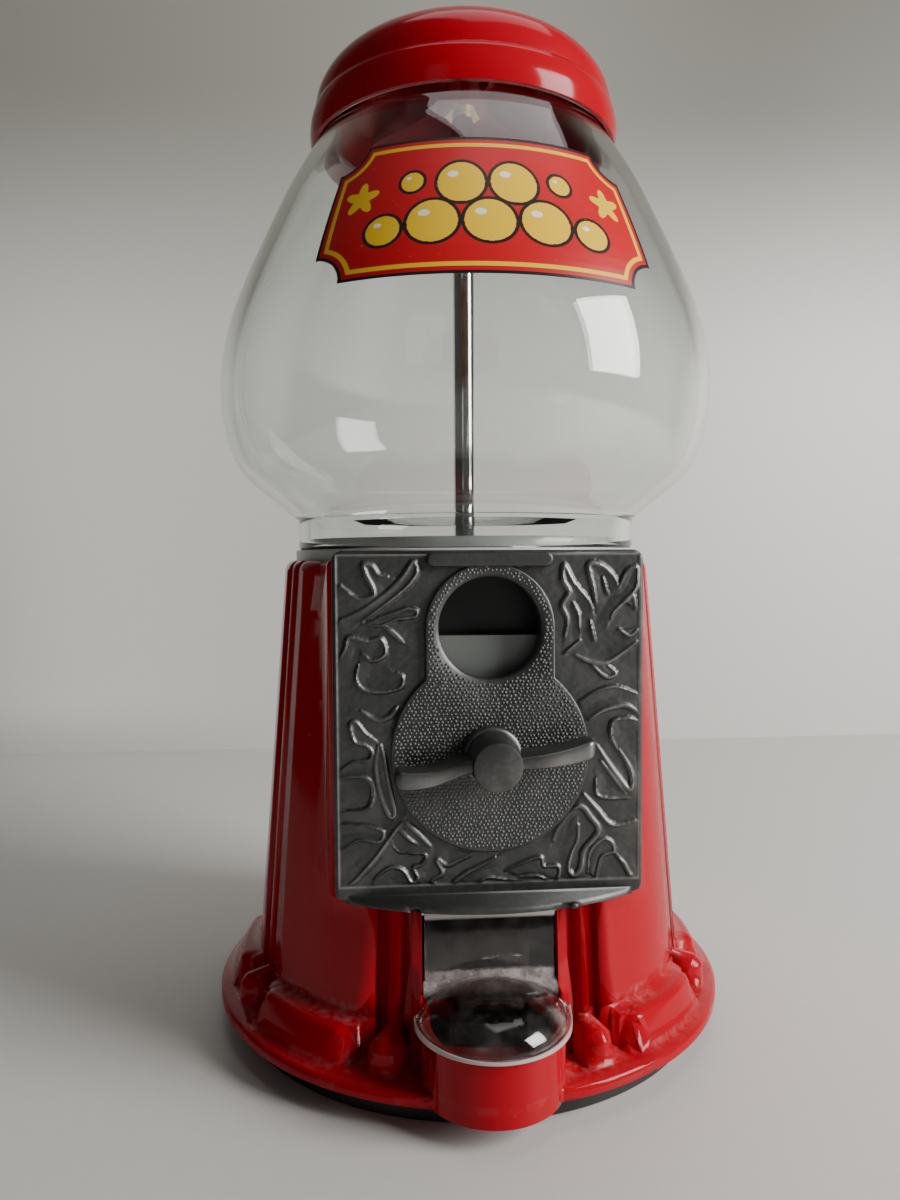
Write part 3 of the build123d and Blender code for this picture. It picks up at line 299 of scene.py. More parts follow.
def make_flap_plastic():
    """Clear moulded plastic gone hazy: milky along its rim, crease and hinge, and rubbed on the panel."""
    made, tree, shader, place = new_material("flap plastic", IOR=1.49)
    x, y, z, _ = places_of(tree, place)
    forward = calc(tree, "ADD", y, -flap_centre * MM)
    squares = calc(tree, "ADD", times(tree, x, x), times(tree, forward, forward))
    rim = times(tree, spread(tree, calc(tree, "SQRT", squares), 18.2 * MM, 18.7 * MM),
                spread(tree, z, 25 * MM, 28 * MM, 1.0, 0.0))
    hinge = spread(tree, z, 44.2 * MM, 45.4 * MM)
    wide = node(tree, "ShaderNodeMapping", {"Vector": place, "Scale": (0.25, 1.0, 1.6)}).outputs["Vector"]
    rubs = times(tree, spread(tree, noise(tree, wide, 420.0, 6.0, 0.75), 0.55, 0.62),
                 times(tree, band(tree, z, 34.6 * MM, 1.3 * MM), band(tree, x, 1.5 * MM, 7.0 * MM)))
    specks = spread(tree, noise(tree, place, 900.0, 8.0, 0.85), 0.655, 0.69)
    haze = spread(tree, noise(tree, place, 190.0, 8.0, 0.7), 0.40, 0.75, 0.0, 0.30)
    scratches = spread(tree, noise(tree, place, 260.0, 9.0, 0.8), 0.36, 0.62)
    crease = times(tree, spread(tree, y, -61.8 * MM, -59.0 * MM), spread(tree, z, 25.5 * MM, 28.5 * MM))
    crease = times(tree, crease, spread(tree, z, 31.8 * MM, 32.4 * MM, 1.0, 0.0))
    crease = times(tree, crease, calc(tree, "ADD", 0.12, times(tree, scratches, 0.30)))
    milky = calc(tree, "MAXIMUM", times(tree, rim, 0.55), times(tree, hinge, 0.75))
    milky = calc(tree, "MAXIMUM", milky, calc(tree, "MAXIMUM", rubs, times(tree, specks, 0.8)))
    milky = calc(tree, "MAXIMUM", milky, calc(tree, "MAXIMUM", crease, times(tree, haze, 0.14)))
    # Painted light: the clear part's reddish tint stands in for red light bouncing inside the tray; the
    # greyer tone is the plastic's own milky haze.
    put(tree, blend(tree, milky, (0.80, 0.72, 0.71), (0.70, 0.68, 0.63)), shader.inputs["Base Color"])
    put(tree, calc(tree, "SUBTRACT", 1.0, milky), shader.inputs["Transmission Weight"])
    put(tree, calc(tree, "ADD", 0.03, times(tree, haze, 0.45)), shader.inputs["Roughness"])
    bump(tree, shader, noise(tree, place, 60.0, 3.0), 0.08, 0.2 * MM)
    return made


def make_decal_ink():
    """The printed badge: black, red and yellow chosen by the distance from each drawn edge."""
    made, tree, shader, place = new_material("badge print", Roughness=0.32, Specular_IOR_Level=0.5)
    tone = (0.012, 0.010, 0.010)
    for name, colour in (("red_area", (0.50, 0.006, 0.012)), ("yellow_area", (0.80, 0.50, 0.02)),
                         ("black_area", (0.012, 0.010, 0.010)), ("spark_area", (0.85, 0.83, 0.75))):
        inside = node(tree, "ShaderNodeAttribute", attribute_name=name).outputs["Fac"]
        tone = blend(tree, spread(tree, inside, -0.04, 0.04), tone, colour)
    speck = spread(tree, noise(tree, place, 700.0, 5.0), 0.68, 0.74, 0.0, 0.5)
    put(tree, blend(tree, speck, tone, (0.35, 0.30, 0.25)), shader.inputs["Base Color"])
    bump(tree, shader, noise(tree, place, 900.0, 3.0), 0.08, 0.02 * MM)
    return made


RED = (0.37, 0.002, 0.011)
red_enamel = make_red_enamel("red enamel", RED, 0.25, True)
lid_enamel = make_red_enamel("lid enamel", RED, 0.6, False)
pewter = make_pewter("antique pewter", (0.050, 0.051, 0.051), (0.42, 0.42, 0.41), 0.08)
pebble_pewter = make_pewter("pebbled pewter", (0.135, 0.138, 0.137), (0.44, 0.44, 0.43), 0.14, dull=0.66)
handle_pewter = make_pewter("rubbed pewter", (0.050, 0.050, 0.050), (0.46, 0.46, 0.45), 0.16, 0.02, dull=0.33)
black_plastic = make_moulded("black moulding", (0.011, 0.011, 0.012), 0.38)
grey_zinc = make_moulded("grey casting", (0.20, 0.215, 0.205), 0.40, mottling=0.15, Metallic=0.5)
white_plastic = make_moulded("white moulding", (0.70, 0.70, 0.67), 0.38)
milky_plastic = make_moulded("milky moulding", (0.70, 0.74, 0.72), 0.30, Transmission_Weight=0.3, IOR=1.46)
zinc_steel = make_drawn_metal("zinc steel", (0.55, 0.55, 0.52), 0.32, "y")
bright_steel = make_drawn_metal("bright steel", (0.62, 0.62, 0.62), 0.2, "y")
rod_chrome = make_drawn_metal("rod chrome", (0.70, 0.69, 0.67), 0.08, "z")
brass = make_drawn_metal("turned brass", (0.70, 0.50, 0.20), 0.25, "z")
globe_glass = make_clear("globe glass", (0.945, 0.965, 0.955), 0.0, 0.03, 0.05)
flap_clear = make_flap_plastic()
badge_ink = make_decal_ink()

SLOT_MATERIALS = {
    "red_enamel": red_enamel, "red_lid": lid_enamel, "black_plastic": black_plastic,
    "antique_pewter": pewter, "handle_pewter": handle_pewter, "grey_zinc": grey_zinc,
    "zinc_steel": zinc_steel, "bright_steel": bright_steel, "rod_chrome": rod_chrome,
    "brass": brass, "white_plastic": white_plastic, "milky_plastic": milky_plastic,
    "globe_glass": globe_glass, "clear_plastic": flap_clear,
}


def paint_cad_nodes():
    """Gives every CAD node the finish of its slot."""
    for part in frame["record"]["subparts"]:
        mesh = nodes[part["node"]].data
        mesh.materials.clear()
        mesh.materials.append(SLOT_MATERIALS[part["material_slot"]])


# ---------------------------------------------------------------- mesh helpers
def show_smooth(obj, degrees=32):
    """Shades an object smooth, apart from edges sharper than an angle."""
    for polygon in obj.data.polygons:
        polygon.use_smooth = True
    obj.data.set_sharp_from_angle(angle=math.radians(degrees))


def finish_piece(bm, name, material, body, replaces=(), degrees=32):
    """Turns a bmesh into a piece that rides on a body and takes a slot's finish."""
    mesh = bpy.data.meshes.new(name)
    bm.to_mesh(mesh)
    bm.free()
    obj = bpy.data.objects.new(name, mesh)
    bpy.context.scene.collection.objects.link(obj)
    mesh.materials.append(material)
    show_smooth(obj, degrees)
    if replaces:
        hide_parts(*replaces)
    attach(obj, body)
    return obj


def smooth_copy(name, material, body, degrees=30):
    """A CAD node's own shape with its facets joined and shaded smooth."""
    bm = bmesh.new()
    bm.from_mesh(nodes[name].data)
    bmesh.ops.remove_doubles(bm, verts=bm.verts, dist=0.002 * MM)
    return finish_piece(bm, name + "_skin", material, body, (name,), degrees)


def curve_points(points, steps):
    """A smooth run through a few (x, y) points, with the same number of steps between each two."""
    points = np.array(points, dtype=float)
    padded = np.vstack([2 * points[0] - points[1], points, 2 * points[-1] - points[-2]])
    run = []
    for index in range(len(points) - 1):
        before, start, end, after = padded[index:index + 4]
        for t in np.arange(steps) / steps:
            bend = 2 * before - 5 * start + 4 * end - after
            twist = 3 * start - before - 3 * end + after
            run.append(0.5 * (2 * start + (end - before) * t + bend * t ** 2 + twist * t ** 3))
    run.append(points[-1])
    return np.array(run)


def join_loops(bm, first, second):
    """A band of faces between two closed loops with as many points each."""
    for index in range(len(first)):
        after = (index + 1) % len(first)
        bm.faces.new((first[index], first[after], second[after], second[index]))


def spin_section(points, steps):
    """A solid of revolution about the upright axis from a closed (radius, height) section in mm."""
    bm = bmesh.new()
    verts = [bm.verts.new((radius * MM, 0.0, height * MM)) for radius, height in points]
    edges = [bm.edges.new(pair) for pair in zip(verts, verts[1:] + verts[:1])]
    bmesh.ops.spin(bm, geom=verts + edges, cent=(0, 0, 0), axis=(0, 0, 1), angle=2 * math.pi,
                   steps=steps, use_merge=True)
    bmesh.ops.remove_doubles(bm, verts=bm.verts, dist=0.001 * MM)
    bmesh.ops.recalc_face_normals(bm, faces=bm.faces)
    return bm


# ---------------------------------------------------------------- globe
GLOBE_OUTLINE = [(neck_radius, glass_foot + neck_height), (55.4, glass_foot + 13.5),
                 (66.3, glass_foot + 23.7), (70.9, glass_foot + 42.0), (67.7, glass_foot + 64.5),
                 (54.5, glass_foot + 95.1), (46.0, glass_foot + 110.4), (40.0, glass_foot + 119.6)]
NECK_SHARES = (0.12, 0.3, 0.5, 0.7, 0.85)


def globe_curve():
    """The outside of the glass from the neck to the mouth, in even steps."""
    run = curve_points(GLOBE_OUTLINE, 10)
    neck = [(neck_radius, glass_foot + neck_height * share) for share in NECK_SHARES]
    return np.vstack([neck, run])


def glass_radius(height):
    """The outside radius of the glass at a height in mm."""
    run = globe_curve()
    return np.interp(height, run[:, 1], run[:, 0])


def make_globe():
    """The glass: its outline, the same moved inwards by the wall, a bead at the mouth and a rounded foot."""
    outer = globe_curve()
    way = np.gradient(outer, axis=0)
    way /= np.linalg.norm(way, axis=1)[:, None]
    inner = outer - glass_wall * np.stack([way[:, 1], -way[:, 0]], axis=1)
    inner[:len(NECK_SHARES), 0] = neck_radius - glass_wall
    rim_centre = (outer[-1] + inner[-1]) / 2
    start = math.atan2(*(outer[-1] - rim_centre)[::-1])
    rim = [rim_centre + mouth_bead * np.array([math.cos(start + turn), math.sin(start + turn)])
           for turn in np.linspace(0.25, math.pi - 0.25, 7)]
    bevel = 0.7
    foot = [(neck_radius - glass_wall, glass_foot + bevel), (neck_radius - glass_wall + bevel, glass_foot),
            (neck_radius - bevel, glass_foot), (neck_radius, glass_foot + bevel)]
    section = list(outer[1:]) + rim + list(inner[::-1][:-1]) + foot
    return finish_piece(spin_section(section, 128), "globe_glass_skin", globe_glass, "base",
                        ("globe",), 50)


# ---------------------------------------------------------------- badge on the globe
badge_low = 194.0
badge_high = 232.0
badge_half_turn = math.radians(37.5)


def rounded_box(x, y, half_x, half_y, corner):
    """Signed distance inside a rounded box, more than zero inside."""
    away_x = np.abs(x) - half_x + corner
    away_y = np.abs(y) - half_y + corner
    outside = np.hypot(np.maximum(away_x, 0), np.maximum(away_y, 0))
    return corner - outside - np.minimum(np.maximum(away_x, away_y), 0)


def badge_areas(x, y):
    """Signed distances in mm of the badge's inks over the flat pattern."""
    half_x, half_y, notch = 39.5, 19.0, 7.0
    ticket = rounded_box(x, y, half_x, half_y, 0.5)
    for side_x in (-1, 1):
        for side_y in (-1, 1):
            ticket = np.minimum(ticket, np.hypot(x - side_x * half_x, y - side_y * half_y) - notch)
    balls = np.full_like(x, -9.0)
    rims = np.full_like(x, -9.0)
    sparks = np.full_like(x, -9.0)
    rows = [(-12.6, -5.0, 5.6), (0.0, -5.0, 5.6), (12.6, -5.0, 5.6), (-6.3, 5.6, 5.6), (6.3, 5.6, 5.6),
            (-23.6, -6.6, 3.9), (23.6, -6.6, 3.9), (-18.0, 6.2, 2.7), (18.0, 6.2, 2.7)]
    for ball_x, ball_y, size in rows:
        away = np.hypot(x - ball_x, y - ball_y)
        balls = np.maximum(balls, size - away)
        rims = np.maximum(rims, size + 0.8 - away)
        glint = np.hypot((x - ball_x + size * 0.35) / 1.5, y - ball_y - size * 0.4)
        sparks = np.maximum(sparks, size * 0.16 - glint)
    keyline = 0.55 - np.abs(ticket - 2.6)
    for side in (-1, 1):
        star_x, star_y = x - side * 30.5, y - 3.2
        angle = np.arctan2(star_y, star_x)
        reach = 4.6 * (1 + 0.34 * np.cos(5 * (angle - math.pi / 2))) / 1.34
        balls = np.maximum(balls, reach - np.hypot(star_x, star_y))
    yellow = np.maximum(balls, keyline)
    return {"edge": ticket, "red_area": ticket - 1.0, "black_rim": rims, "yellow": yellow,
            "balls": balls, "sparks": sparks}


def make_badge():
    """The badge printed on the glass, as a thin film wrapped round the front of the globe."""
    columns, rows = 330, 170
    sheet_half_x, sheet_half_y, lift = 40.0, 19.5, 0.06
    bm = bmesh.new()
    bmesh.ops.create_grid(bm, x_segments=columns, y_segments=rows, size=1.0)
    bm.verts.ensure_lookup_table()
    flat = np.array([vert.co for vert in bm.verts])
    x, y = flat[:, 0] * sheet_half_x, flat[:, 1] * sheet_half_y
    areas = badge_areas(x, y)
    height = badge_low + (flat[:, 1] + 1) / 2 * (badge_high - badge_low)
    turn = flat[:, 0] * badge_half_turn
    radius = glass_radius(height) + lift
    for vert, around, out, up in zip(bm.verts, turn, radius, height):
        vert.co = (out * math.sin(around) * MM, -out * math.cos(around) * MM, up * MM)
    names = ("red_area", "yellow_area", "black_area", "spark_area")
    layers = {name: bm.verts.layers.float.new(name) for name in names}
    black = np.minimum(areas["black_rim"], 0.8 - areas["balls"])
    for index, vert in enumerate(bm.verts):
        vert[layers["red_area"]] = areas["red_area"][index]
        vert[layers["black_area"]] = black[index] if areas["balls"][index] < 0 else -1.0
        vert[layers["yellow_area"]] = areas["yellow"][index]
        vert[layers["spark_area"]] = areas["sparks"][index]
    outside = [vert for index, vert in enumerate(bm.verts) if areas["edge"][index] < 0]
    bmesh.ops.delete(bm, geom=outside, context="VERTS")
    return finish_piece(bm, "globe_badge", badge_ink, "base", degrees=60)


# ---------------------------------------------------------------- relief on the front plate
def stroke_field(x, z, points):
    """Every place's distance from a smooth stroke in mm, its side of it, and how far along it lies."""
    run = curve_points(points, 6)
    near = np.full(x.shape, 99.0)
    side = np.zeros(x.shape)
    along = np.zeros(x.shape)
    for index, ((ax, az), (bx, bz)) in enumerate(zip(run, run[1:])):
        dx, dz = bx - ax, bz - az
        share = np.clip(((x - ax) * dx + (z - az) * dz) / max(dx * dx + dz * dz, 1e-9), 0, 1)
        away = np.hypot(x - ax - share * dx, z - az - share * dz)
        closer = away < near
        near = np.where(closer, away, near)
        side = np.where(closer, np.sign(dx * (z - az) - dz * (x - ax)), side)
        along = np.where(closer, (index + share) / (len(run) - 1), along)
    return near, side, along


def inside_outline(x, z, points):
    """Whether each place lies inside a closed stroke."""
    run = curve_points(points, 6)
    inside = np.zeros(x.shape, dtype=bool)
    for (ax, az), (bx, bz) in zip(run, np.roll(run, -1, axis=0)):
        crosses = (az > z) != (bz > z)
        reach = ax + (z - az) * (bx - ax) / (bz - az if bz != az else 1e-9)
        inside ^= crosses & (x < reach)
    return inside


# Strokes of the cast leafwork, as (x, z) points in mm on the plate
LEAFWORK = {
    "high bough": [(-35, 117.5), (-29.5, 120), (-24, 124), (-20.5, 127.5), (-18, 131), (-17, 128.5),
                   (-19.5, 125), (-24.5, 121), (-30, 117)],
    "high leaf": [(-24, 127.5), (-26, 128), (-27.5, 130), (-29.5, 130.5), (-29, 128), (-27.5, 125),
                  (-27.5, 123), (-31, 122.5), (-35, 125.5)],
    "curled leaf": [(-30, 116.5), (-26, 116), (-22, 117.5), (-17.8, 118), (-17.2, 119.5), (-19.5, 120),
                    (-22.5, 119), (-26, 118)],
    "twig": [(-25, 116), (-22.5, 114), (-20.5, 112)],
    "side leaf": [(-35, 109), (-34, 111), (-33, 113.5), (-28.5, 112.5), (-25.5, 113), (-24.5, 109.5),
                  (-27.5, 107.8), (-30, 109.5)],
    "scroll": [(-31, 107), (-31.5, 103.5), (-29.5, 101), (-25, 100.5), (-21, 101.5), (-20.5, 104),
               (-22, 105)],
    "fork": [(-30.5, 96), (-27, 94), (-24, 94.5), (-22, 96.5), (-22, 93.5), (-23.5, 90.5)],
    "hooked leaf": [(-27, 89), (-29.5, 91), (-31.5, 93.5), (-33, 93), (-32, 89), (-29.5, 88), (-28, 86.5),
                    (-28.8, 84.5), (-32.5, 84), (-35, 82.5)],
    "long blade": [(-26.5, 88), (-27.2, 82.5), (-26, 76), (-24, 71), (-22.8, 72), (-24, 78), (-25, 84),
                   (-26, 88)],
    "bay": [(-34.5, 80.5), (-30, 80.5), (-28, 78.5), (-28, 75), (-29.5, 72.8), (-33.5, 72.5)],
    "low leaf": [(-34.5, 69.5), (-29.5, 69), (-25.5, 67.5), (-26.5, 65), (-31, 65.5), (-35, 63.5)],
    "stem": [(-35, 53.5), (-31, 57), (-27, 61.5), (-23, 67), (-21, 69.5)],
    "stem side": [(-32.5, 55), (-27.5, 60), (-23.5, 65)],
    "barb": [(-22, 68), (-19.5, 65.5), (-17.5, 64)],
    "long barb": [(-20.5, 69.5), (-17.5, 67), (-14.5, 63.5)],
    "foot leaf": [(-24, 65), (-22, 62.5), (-18.5, 62), (-15.5, 61.5), (-16.5, 59.3), (-18.5, 58.5),
                  (-17.5, 56), (-19, 55.3), (-20.8, 58), (-23.8, 58.8), (-26.8, 57), (-27.8, 55),
                  (-26, 53.5)],
    "foot sprig": [(-5, 61), (-7.5, 60), (-10.5, 58.8), (-12.8, 60.2), (-11.5, 57), (-14, 55.2),
                   (-12.5, 53.6)],
    "foot swell": [(1, 60.3), (-2.5, 58.5), (-6.5, 56.5), (-9, 54), (-4, 53.8), (-1, 55.5), (4, 54.8),
                   (11, 54)],
    "foot curl": [(3.5, 57), (8, 59), (12, 60), (12.8, 57.8), (16.2, 57.8), (16.2, 55), (14.5, 54),
                  (11.5, 55.5), (7, 55.5)],
    "right lobe": [(15, 64), (16.5, 67.5), (19, 71), (21.8, 72), (24, 69.5), (26, 66), (22.5, 61.5),
                   (21.8, 57.5), (20.3, 55.5), (18.8, 57), (19.5, 60.5), (21, 64), (21.2, 67.5)],
    "low right lobe": [(23.3, 56), (24, 61), (27, 64), (29.2, 63.2), (29.8, 61), (27, 60), (26, 57.5),
                       (25.3, 54.8)],
    "right tail": [(30, 60.5), (32.3, 57.8), (33.5, 55.5), (35.3, 53.5)],
    "right stem": [(22.5, 75), (26, 71), (29.5, 67.5), (35.5, 68.3)],
    "right bay": [(25.2, 78.5), (25.7, 74.8), (29.5, 73.8), (33.5, 73.8)],
    "feather": [(25.8, 86.5), (29.5, 80.8), (33.5, 76), (34.2, 79), (33, 82.2), (31, 85.5)],
    "feather side": [(26.5, 83), (29.8, 78.8), (32.6, 75)],
    "right arch": [(30.5, 85.5), (29, 89), (29.5, 92.5), (33, 93.3), (35.5, 92.6)],
    "right wave": [(23.8, 93), (27.5, 95.3), (32.5, 96.2), (35.5, 94.5)],
    "high right wave": [(21.5, 97.5), (26, 100), (30.5, 100.8), (35.5, 99)],
    "spear": [(24.5, 119.5), (23.5, 121.8), (20, 126), (17.8, 130), (17.4, 126.5), (18.8, 123.5),
              (17.2, 120.5), (18.4, 117), (17.8, 113)],
    "spear vein": [(19.8, 121), (21.2, 118.5), (21.6, 114)],
    "dash": [(24, 116.5), (25, 112)],
    "right blade": [(25.2, 121), (24.6, 124.5), (23.6, 130), (26.8, 129.8), (29.8, 127), (30.6, 125)],
    "right vein": [(27, 127), (28.2, 123)],
    "right ear": [(30.8, 124.5), (32.8, 128.5), (35.4, 129.3), (35.4, 125), (33, 121.8), (29.8, 118.8),
                  (29, 117)],
    "ear vein": [(31.8, 121.3), (34.2, 122.6), (35, 119.5)],
    "low bough": [(17.8, 109), (21.5, 112)],
    "bough": [(20.5, 108.3), (23.5, 107), (28, 106.7), (32, 109), (35.4, 111.5)],
    "bough leaf": [(24.5, 106), (27.8, 103.2), (30.2, 104), (28, 106)],
    "mid right": [(31, 114.5), (33.5, 113), (35.5, 114.5)],
}
stroke_half = 0.62
stroke_height = 0.62
leaf_height = 0.42
slope_height = 0.40
slope_reach = 3.6


def smooth_step(value, low, high):
    """Nought below low, one above high, eased between them."""
    share = np.clip((value - low) / (high - low), 0, 1)
    return share * share * (3 - 2 * share)


def distance_to_boss(x, z):
    """Distance outside the boss's edge in mm, less than zero inside it."""
    rise = hole_height - axis_height
    to_circle = np.hypot(x, z - axis_height) - boss_radius
    to_lobe = np.hypot(x, z - hole_height) - lobe_radius
    to_neck = np.maximum(np.abs(x) - lobe_radius, np.abs(z - axis_height - rise / 2) - rise / 2)
    return np.minimum(np.minimum(to_circle, to_lobe), to_neck)


def relief_height(x, z):
    """Height of the cast ornament over the plate's ground, and how far each place is rubbed bright."""
    ridge = np.zeros(x.shape)
    leaf = np.zeros(x.shape)
    for index, points in enumerate(LEAFWORK.values()):
        near, side, along = stroke_field(x, z, points)
        taper = 0.55 + 0.45 * np.sin(math.pi * np.clip(along, 0.02, 0.98)) ** 0.6
        half = stroke_half * taper * (1.0 + 0.22 * math.sin(index * 2.4))
        ridge = np.maximum(ridge, np.sqrt(np.clip(1 - (near / half) ** 2, 0, 1)) * taper)
        if math.dist(points[0], points[-1]) < 5.0:
            filled = inside_outline(x, z, points) * leaf_height * smooth_step(near, -0.4, 1.1)
            leaf = np.maximum(leaf, np.maximum(filled, leaf_height * 0.6 * (1 - smooth_step(near, 0.0, 0.9))))
        else:
            lean = 1 if index % 2 else -1
            slope = slope_height * (1 - smooth_step(near, 0.0, slope_reach)) * (side * lean > 0) * taper
            leaf = np.maximum(leaf, slope)
    to_boss = distance_to_boss(x, z)
    past_bar = np.maximum(np.abs(x) - bar_length / 2 + bar_height / 2, 0)
    to_bar = np.hypot(past_bar, z - bar_centre) - bar_height / 2
    to_edge = np.minimum(plate_half - np.abs(x), np.minimum(z - plate_low - 2.6, plate_high - z))
    clear = smooth_step(to_boss, 0.2, 1.2) * smooth_step(to_bar, 0.1, 0.9) * smooth_step(to_edge, 0.9, 1.9)
    border = (1 - smooth_step(to_edge, 1.0, 1.5)) * 0.22
    height = np.maximum(stroke_height * ridge + 0.45 * leaf, leaf) * clear + border
    rubbed = np.clip(ridge * 1.7 - 1.05, 0, 1) * clear * 0.55
    rubbed = np.maximum(rubbed, (1 - smooth_step(np.abs(to_edge - 1.0), 0.0, 0.45)) * 0.6)
    return height, rubbed


def make_relief():
    """The cast leafwork round the boss: a fine sheet over the plate's ground, its rim sunk into the plate."""
    margin = 0.85
    half_x = plate_half - margin
    half_z = (plate_high - plate_low) / 2 - margin
    middle = (plate_high + plate_low) / 2
    columns, rows = 262, 294
    bm = bmesh.new()
    bmesh.ops.create_grid(bm, x_segments=columns, y_segments=rows, size=1.0)
    flat = np.array([vert.co for vert in bm.verts])
    x, z = flat[:, 0] * half_x, middle + flat[:, 1] * half_z
    height, rubbed = relief_height(x, z)
    waves = 0.03 * np.sin(x * 1.7 + 2 * np.sin(z * 0.9)) * np.sin(z * 1.3 + np.sin(x * 1.1))
    value = bm.verts.layers.float.new("rubbed")
    for vert, px, pz, up, bright in zip(bm.verts, x, z, height + waves, rubbed):
        vert.co = (px * MM, -(plate_front + 0.04 + up) * MM, pz * MM)
        vert[value] = bright
    under_boss = [vert for vert, deep in zip(bm.verts, distance_to_boss(x, z) < -1.2) if deep]
    bmesh.ops.delete(bm, geom=under_boss, context="VERTS")
    grown = bmesh.ops.extrude_face_region(bm, geom=list(bm.faces), use_keep_orig=True)["geom"]
    for item in grown:
        if isinstance(item, bmesh.types.BMVert):
            item.co.y = -(plate_front - 0.4) * MM
    bmesh.ops.recalc_face_normals(bm, faces=bm.faces)
    return finish_piece(bm, "plate_relief", pewter, "base", degrees=40)


# ---------------------------------------------------------------- pebbled boss
pebble_pitch = 0.98
pebble_radius = 0.40
pebble_height = 0.30


def inside_boss(x, z, margin):
    """Whether a place lies on the boss, clear of its edge, the hole and the middle of the handle's hub."""
    on_circle = math.hypot(x, z - axis_height) < boss_radius - margin
    on_lobe = math.hypot(x, z - hole_height) < lobe_radius - margin
    on_neck = abs(x) < lobe_radius - margin and axis_height < z < hole_height
    clear_of_hole = math.hypot(x, z - hole_height) > hole_radius + margin + 0.1
    clear_of_hub = math.hypot(x, z - axis_height) > 6.2
    return (on_circle or on_lobe or on_neck) and clear_of_hole and clear_of_hub


def make_pebbles():
    """The boss's pebbled ground: small domes in a slightly uneven close packing."""
    rows = random.Random(7)
    dome = bmesh.new()
    bmesh.ops.create_uvsphere(dome, u_segments=7, v_segments=4, radius=pebble_radius * MM)
    back = [vert for vert in dome.verts if vert.co.z < -0.01 * MM]
    bmesh.ops.delete(dome, geom=back, context="VERTS")
    bmesh.ops.contextual_create(dome, geom=[edge for edge in dome.edges if edge.is_boundary])
    bmesh.ops.recalc_face_normals(dome, faces=dome.faces)
    bmesh.ops.scale(dome, vec=(1, 1, pebble_height / pebble_radius), verts=dome.verts)
    bmesh.ops.rotate(dome, cent=(0, 0, 0), matrix=Matrix.Rotation(math.radians(90), 3, "X"), verts=dome.verts)
    template = bpy.data.meshes.new("pebble")
    bm = bmesh.new()
    step_z = pebble_pitch * math.sqrt(3) / 2
    count_x = int(boss_radius / pebble_pitch) + 1
    row, z = 0, axis_height - boss_radius
    while z < hole_height + lobe_radius:
        for column in range(-count_x, count_x + 1):
            x = (column + 0.5 * (row % 2)) * pebble_pitch
            px = x + rows.uniform(-0.19, 0.19)
            pz = z + rows.uniform(-0.19, 0.19)
            if not inside_boss(px, pz, 0.75):
                continue
            grow = rows.uniform(0.70, 1.06)
            spot = dome.copy()
            bmesh.ops.scale(spot, vec=(grow, rows.uniform(0.8, 1.05), grow), verts=spot.verts)
            bmesh.ops.translate(spot, vec=(px * MM, -(boss_front - 0.02) * MM, pz * MM), verts=spot.verts)
            spot.to_mesh(template)
            spot.free()
            bm.from_mesh(template)
        z += step_z
        row += 1
    dome.free()
    bpy.data.meshes.remove(template)
    value = bm.verts.layers.float.new("rubbed")
    for vert in bm.verts:
        proud = (-vert.co.y / MM - boss_front) / pebble_height
        vert[value] = max(0.0, min(1.0, proud * 1.6 - 0.95)) * 0.7
    return finish_piece(bm, "boss_pebbles", pebble_pewter, "base", degrees=80)


# ---------------------------------------------------------------- handle
wing_front = -73.4
wing_back = -63.6
wing_half = 1.45
wing_swell = 0.75
wing_tip = 1.7
wing_corner = 0.9
corner_steps = 4
# The wings' middle line, as (x, z) points in mm from the handle's axis
WING_LINE = [(-22.9, -3.1), (-19.7, -3.5), (-14.6, -3.0), (-10.5, -1.7), (-7.1, -0.5), (-3.0, 0.0),
             (3.0, 0.1), (6.5, 0.3), (10.0, 0.5), (13.5, 0.9), (17.0, 1.5), (20.0, 2.2), (22.9, 3.1)]


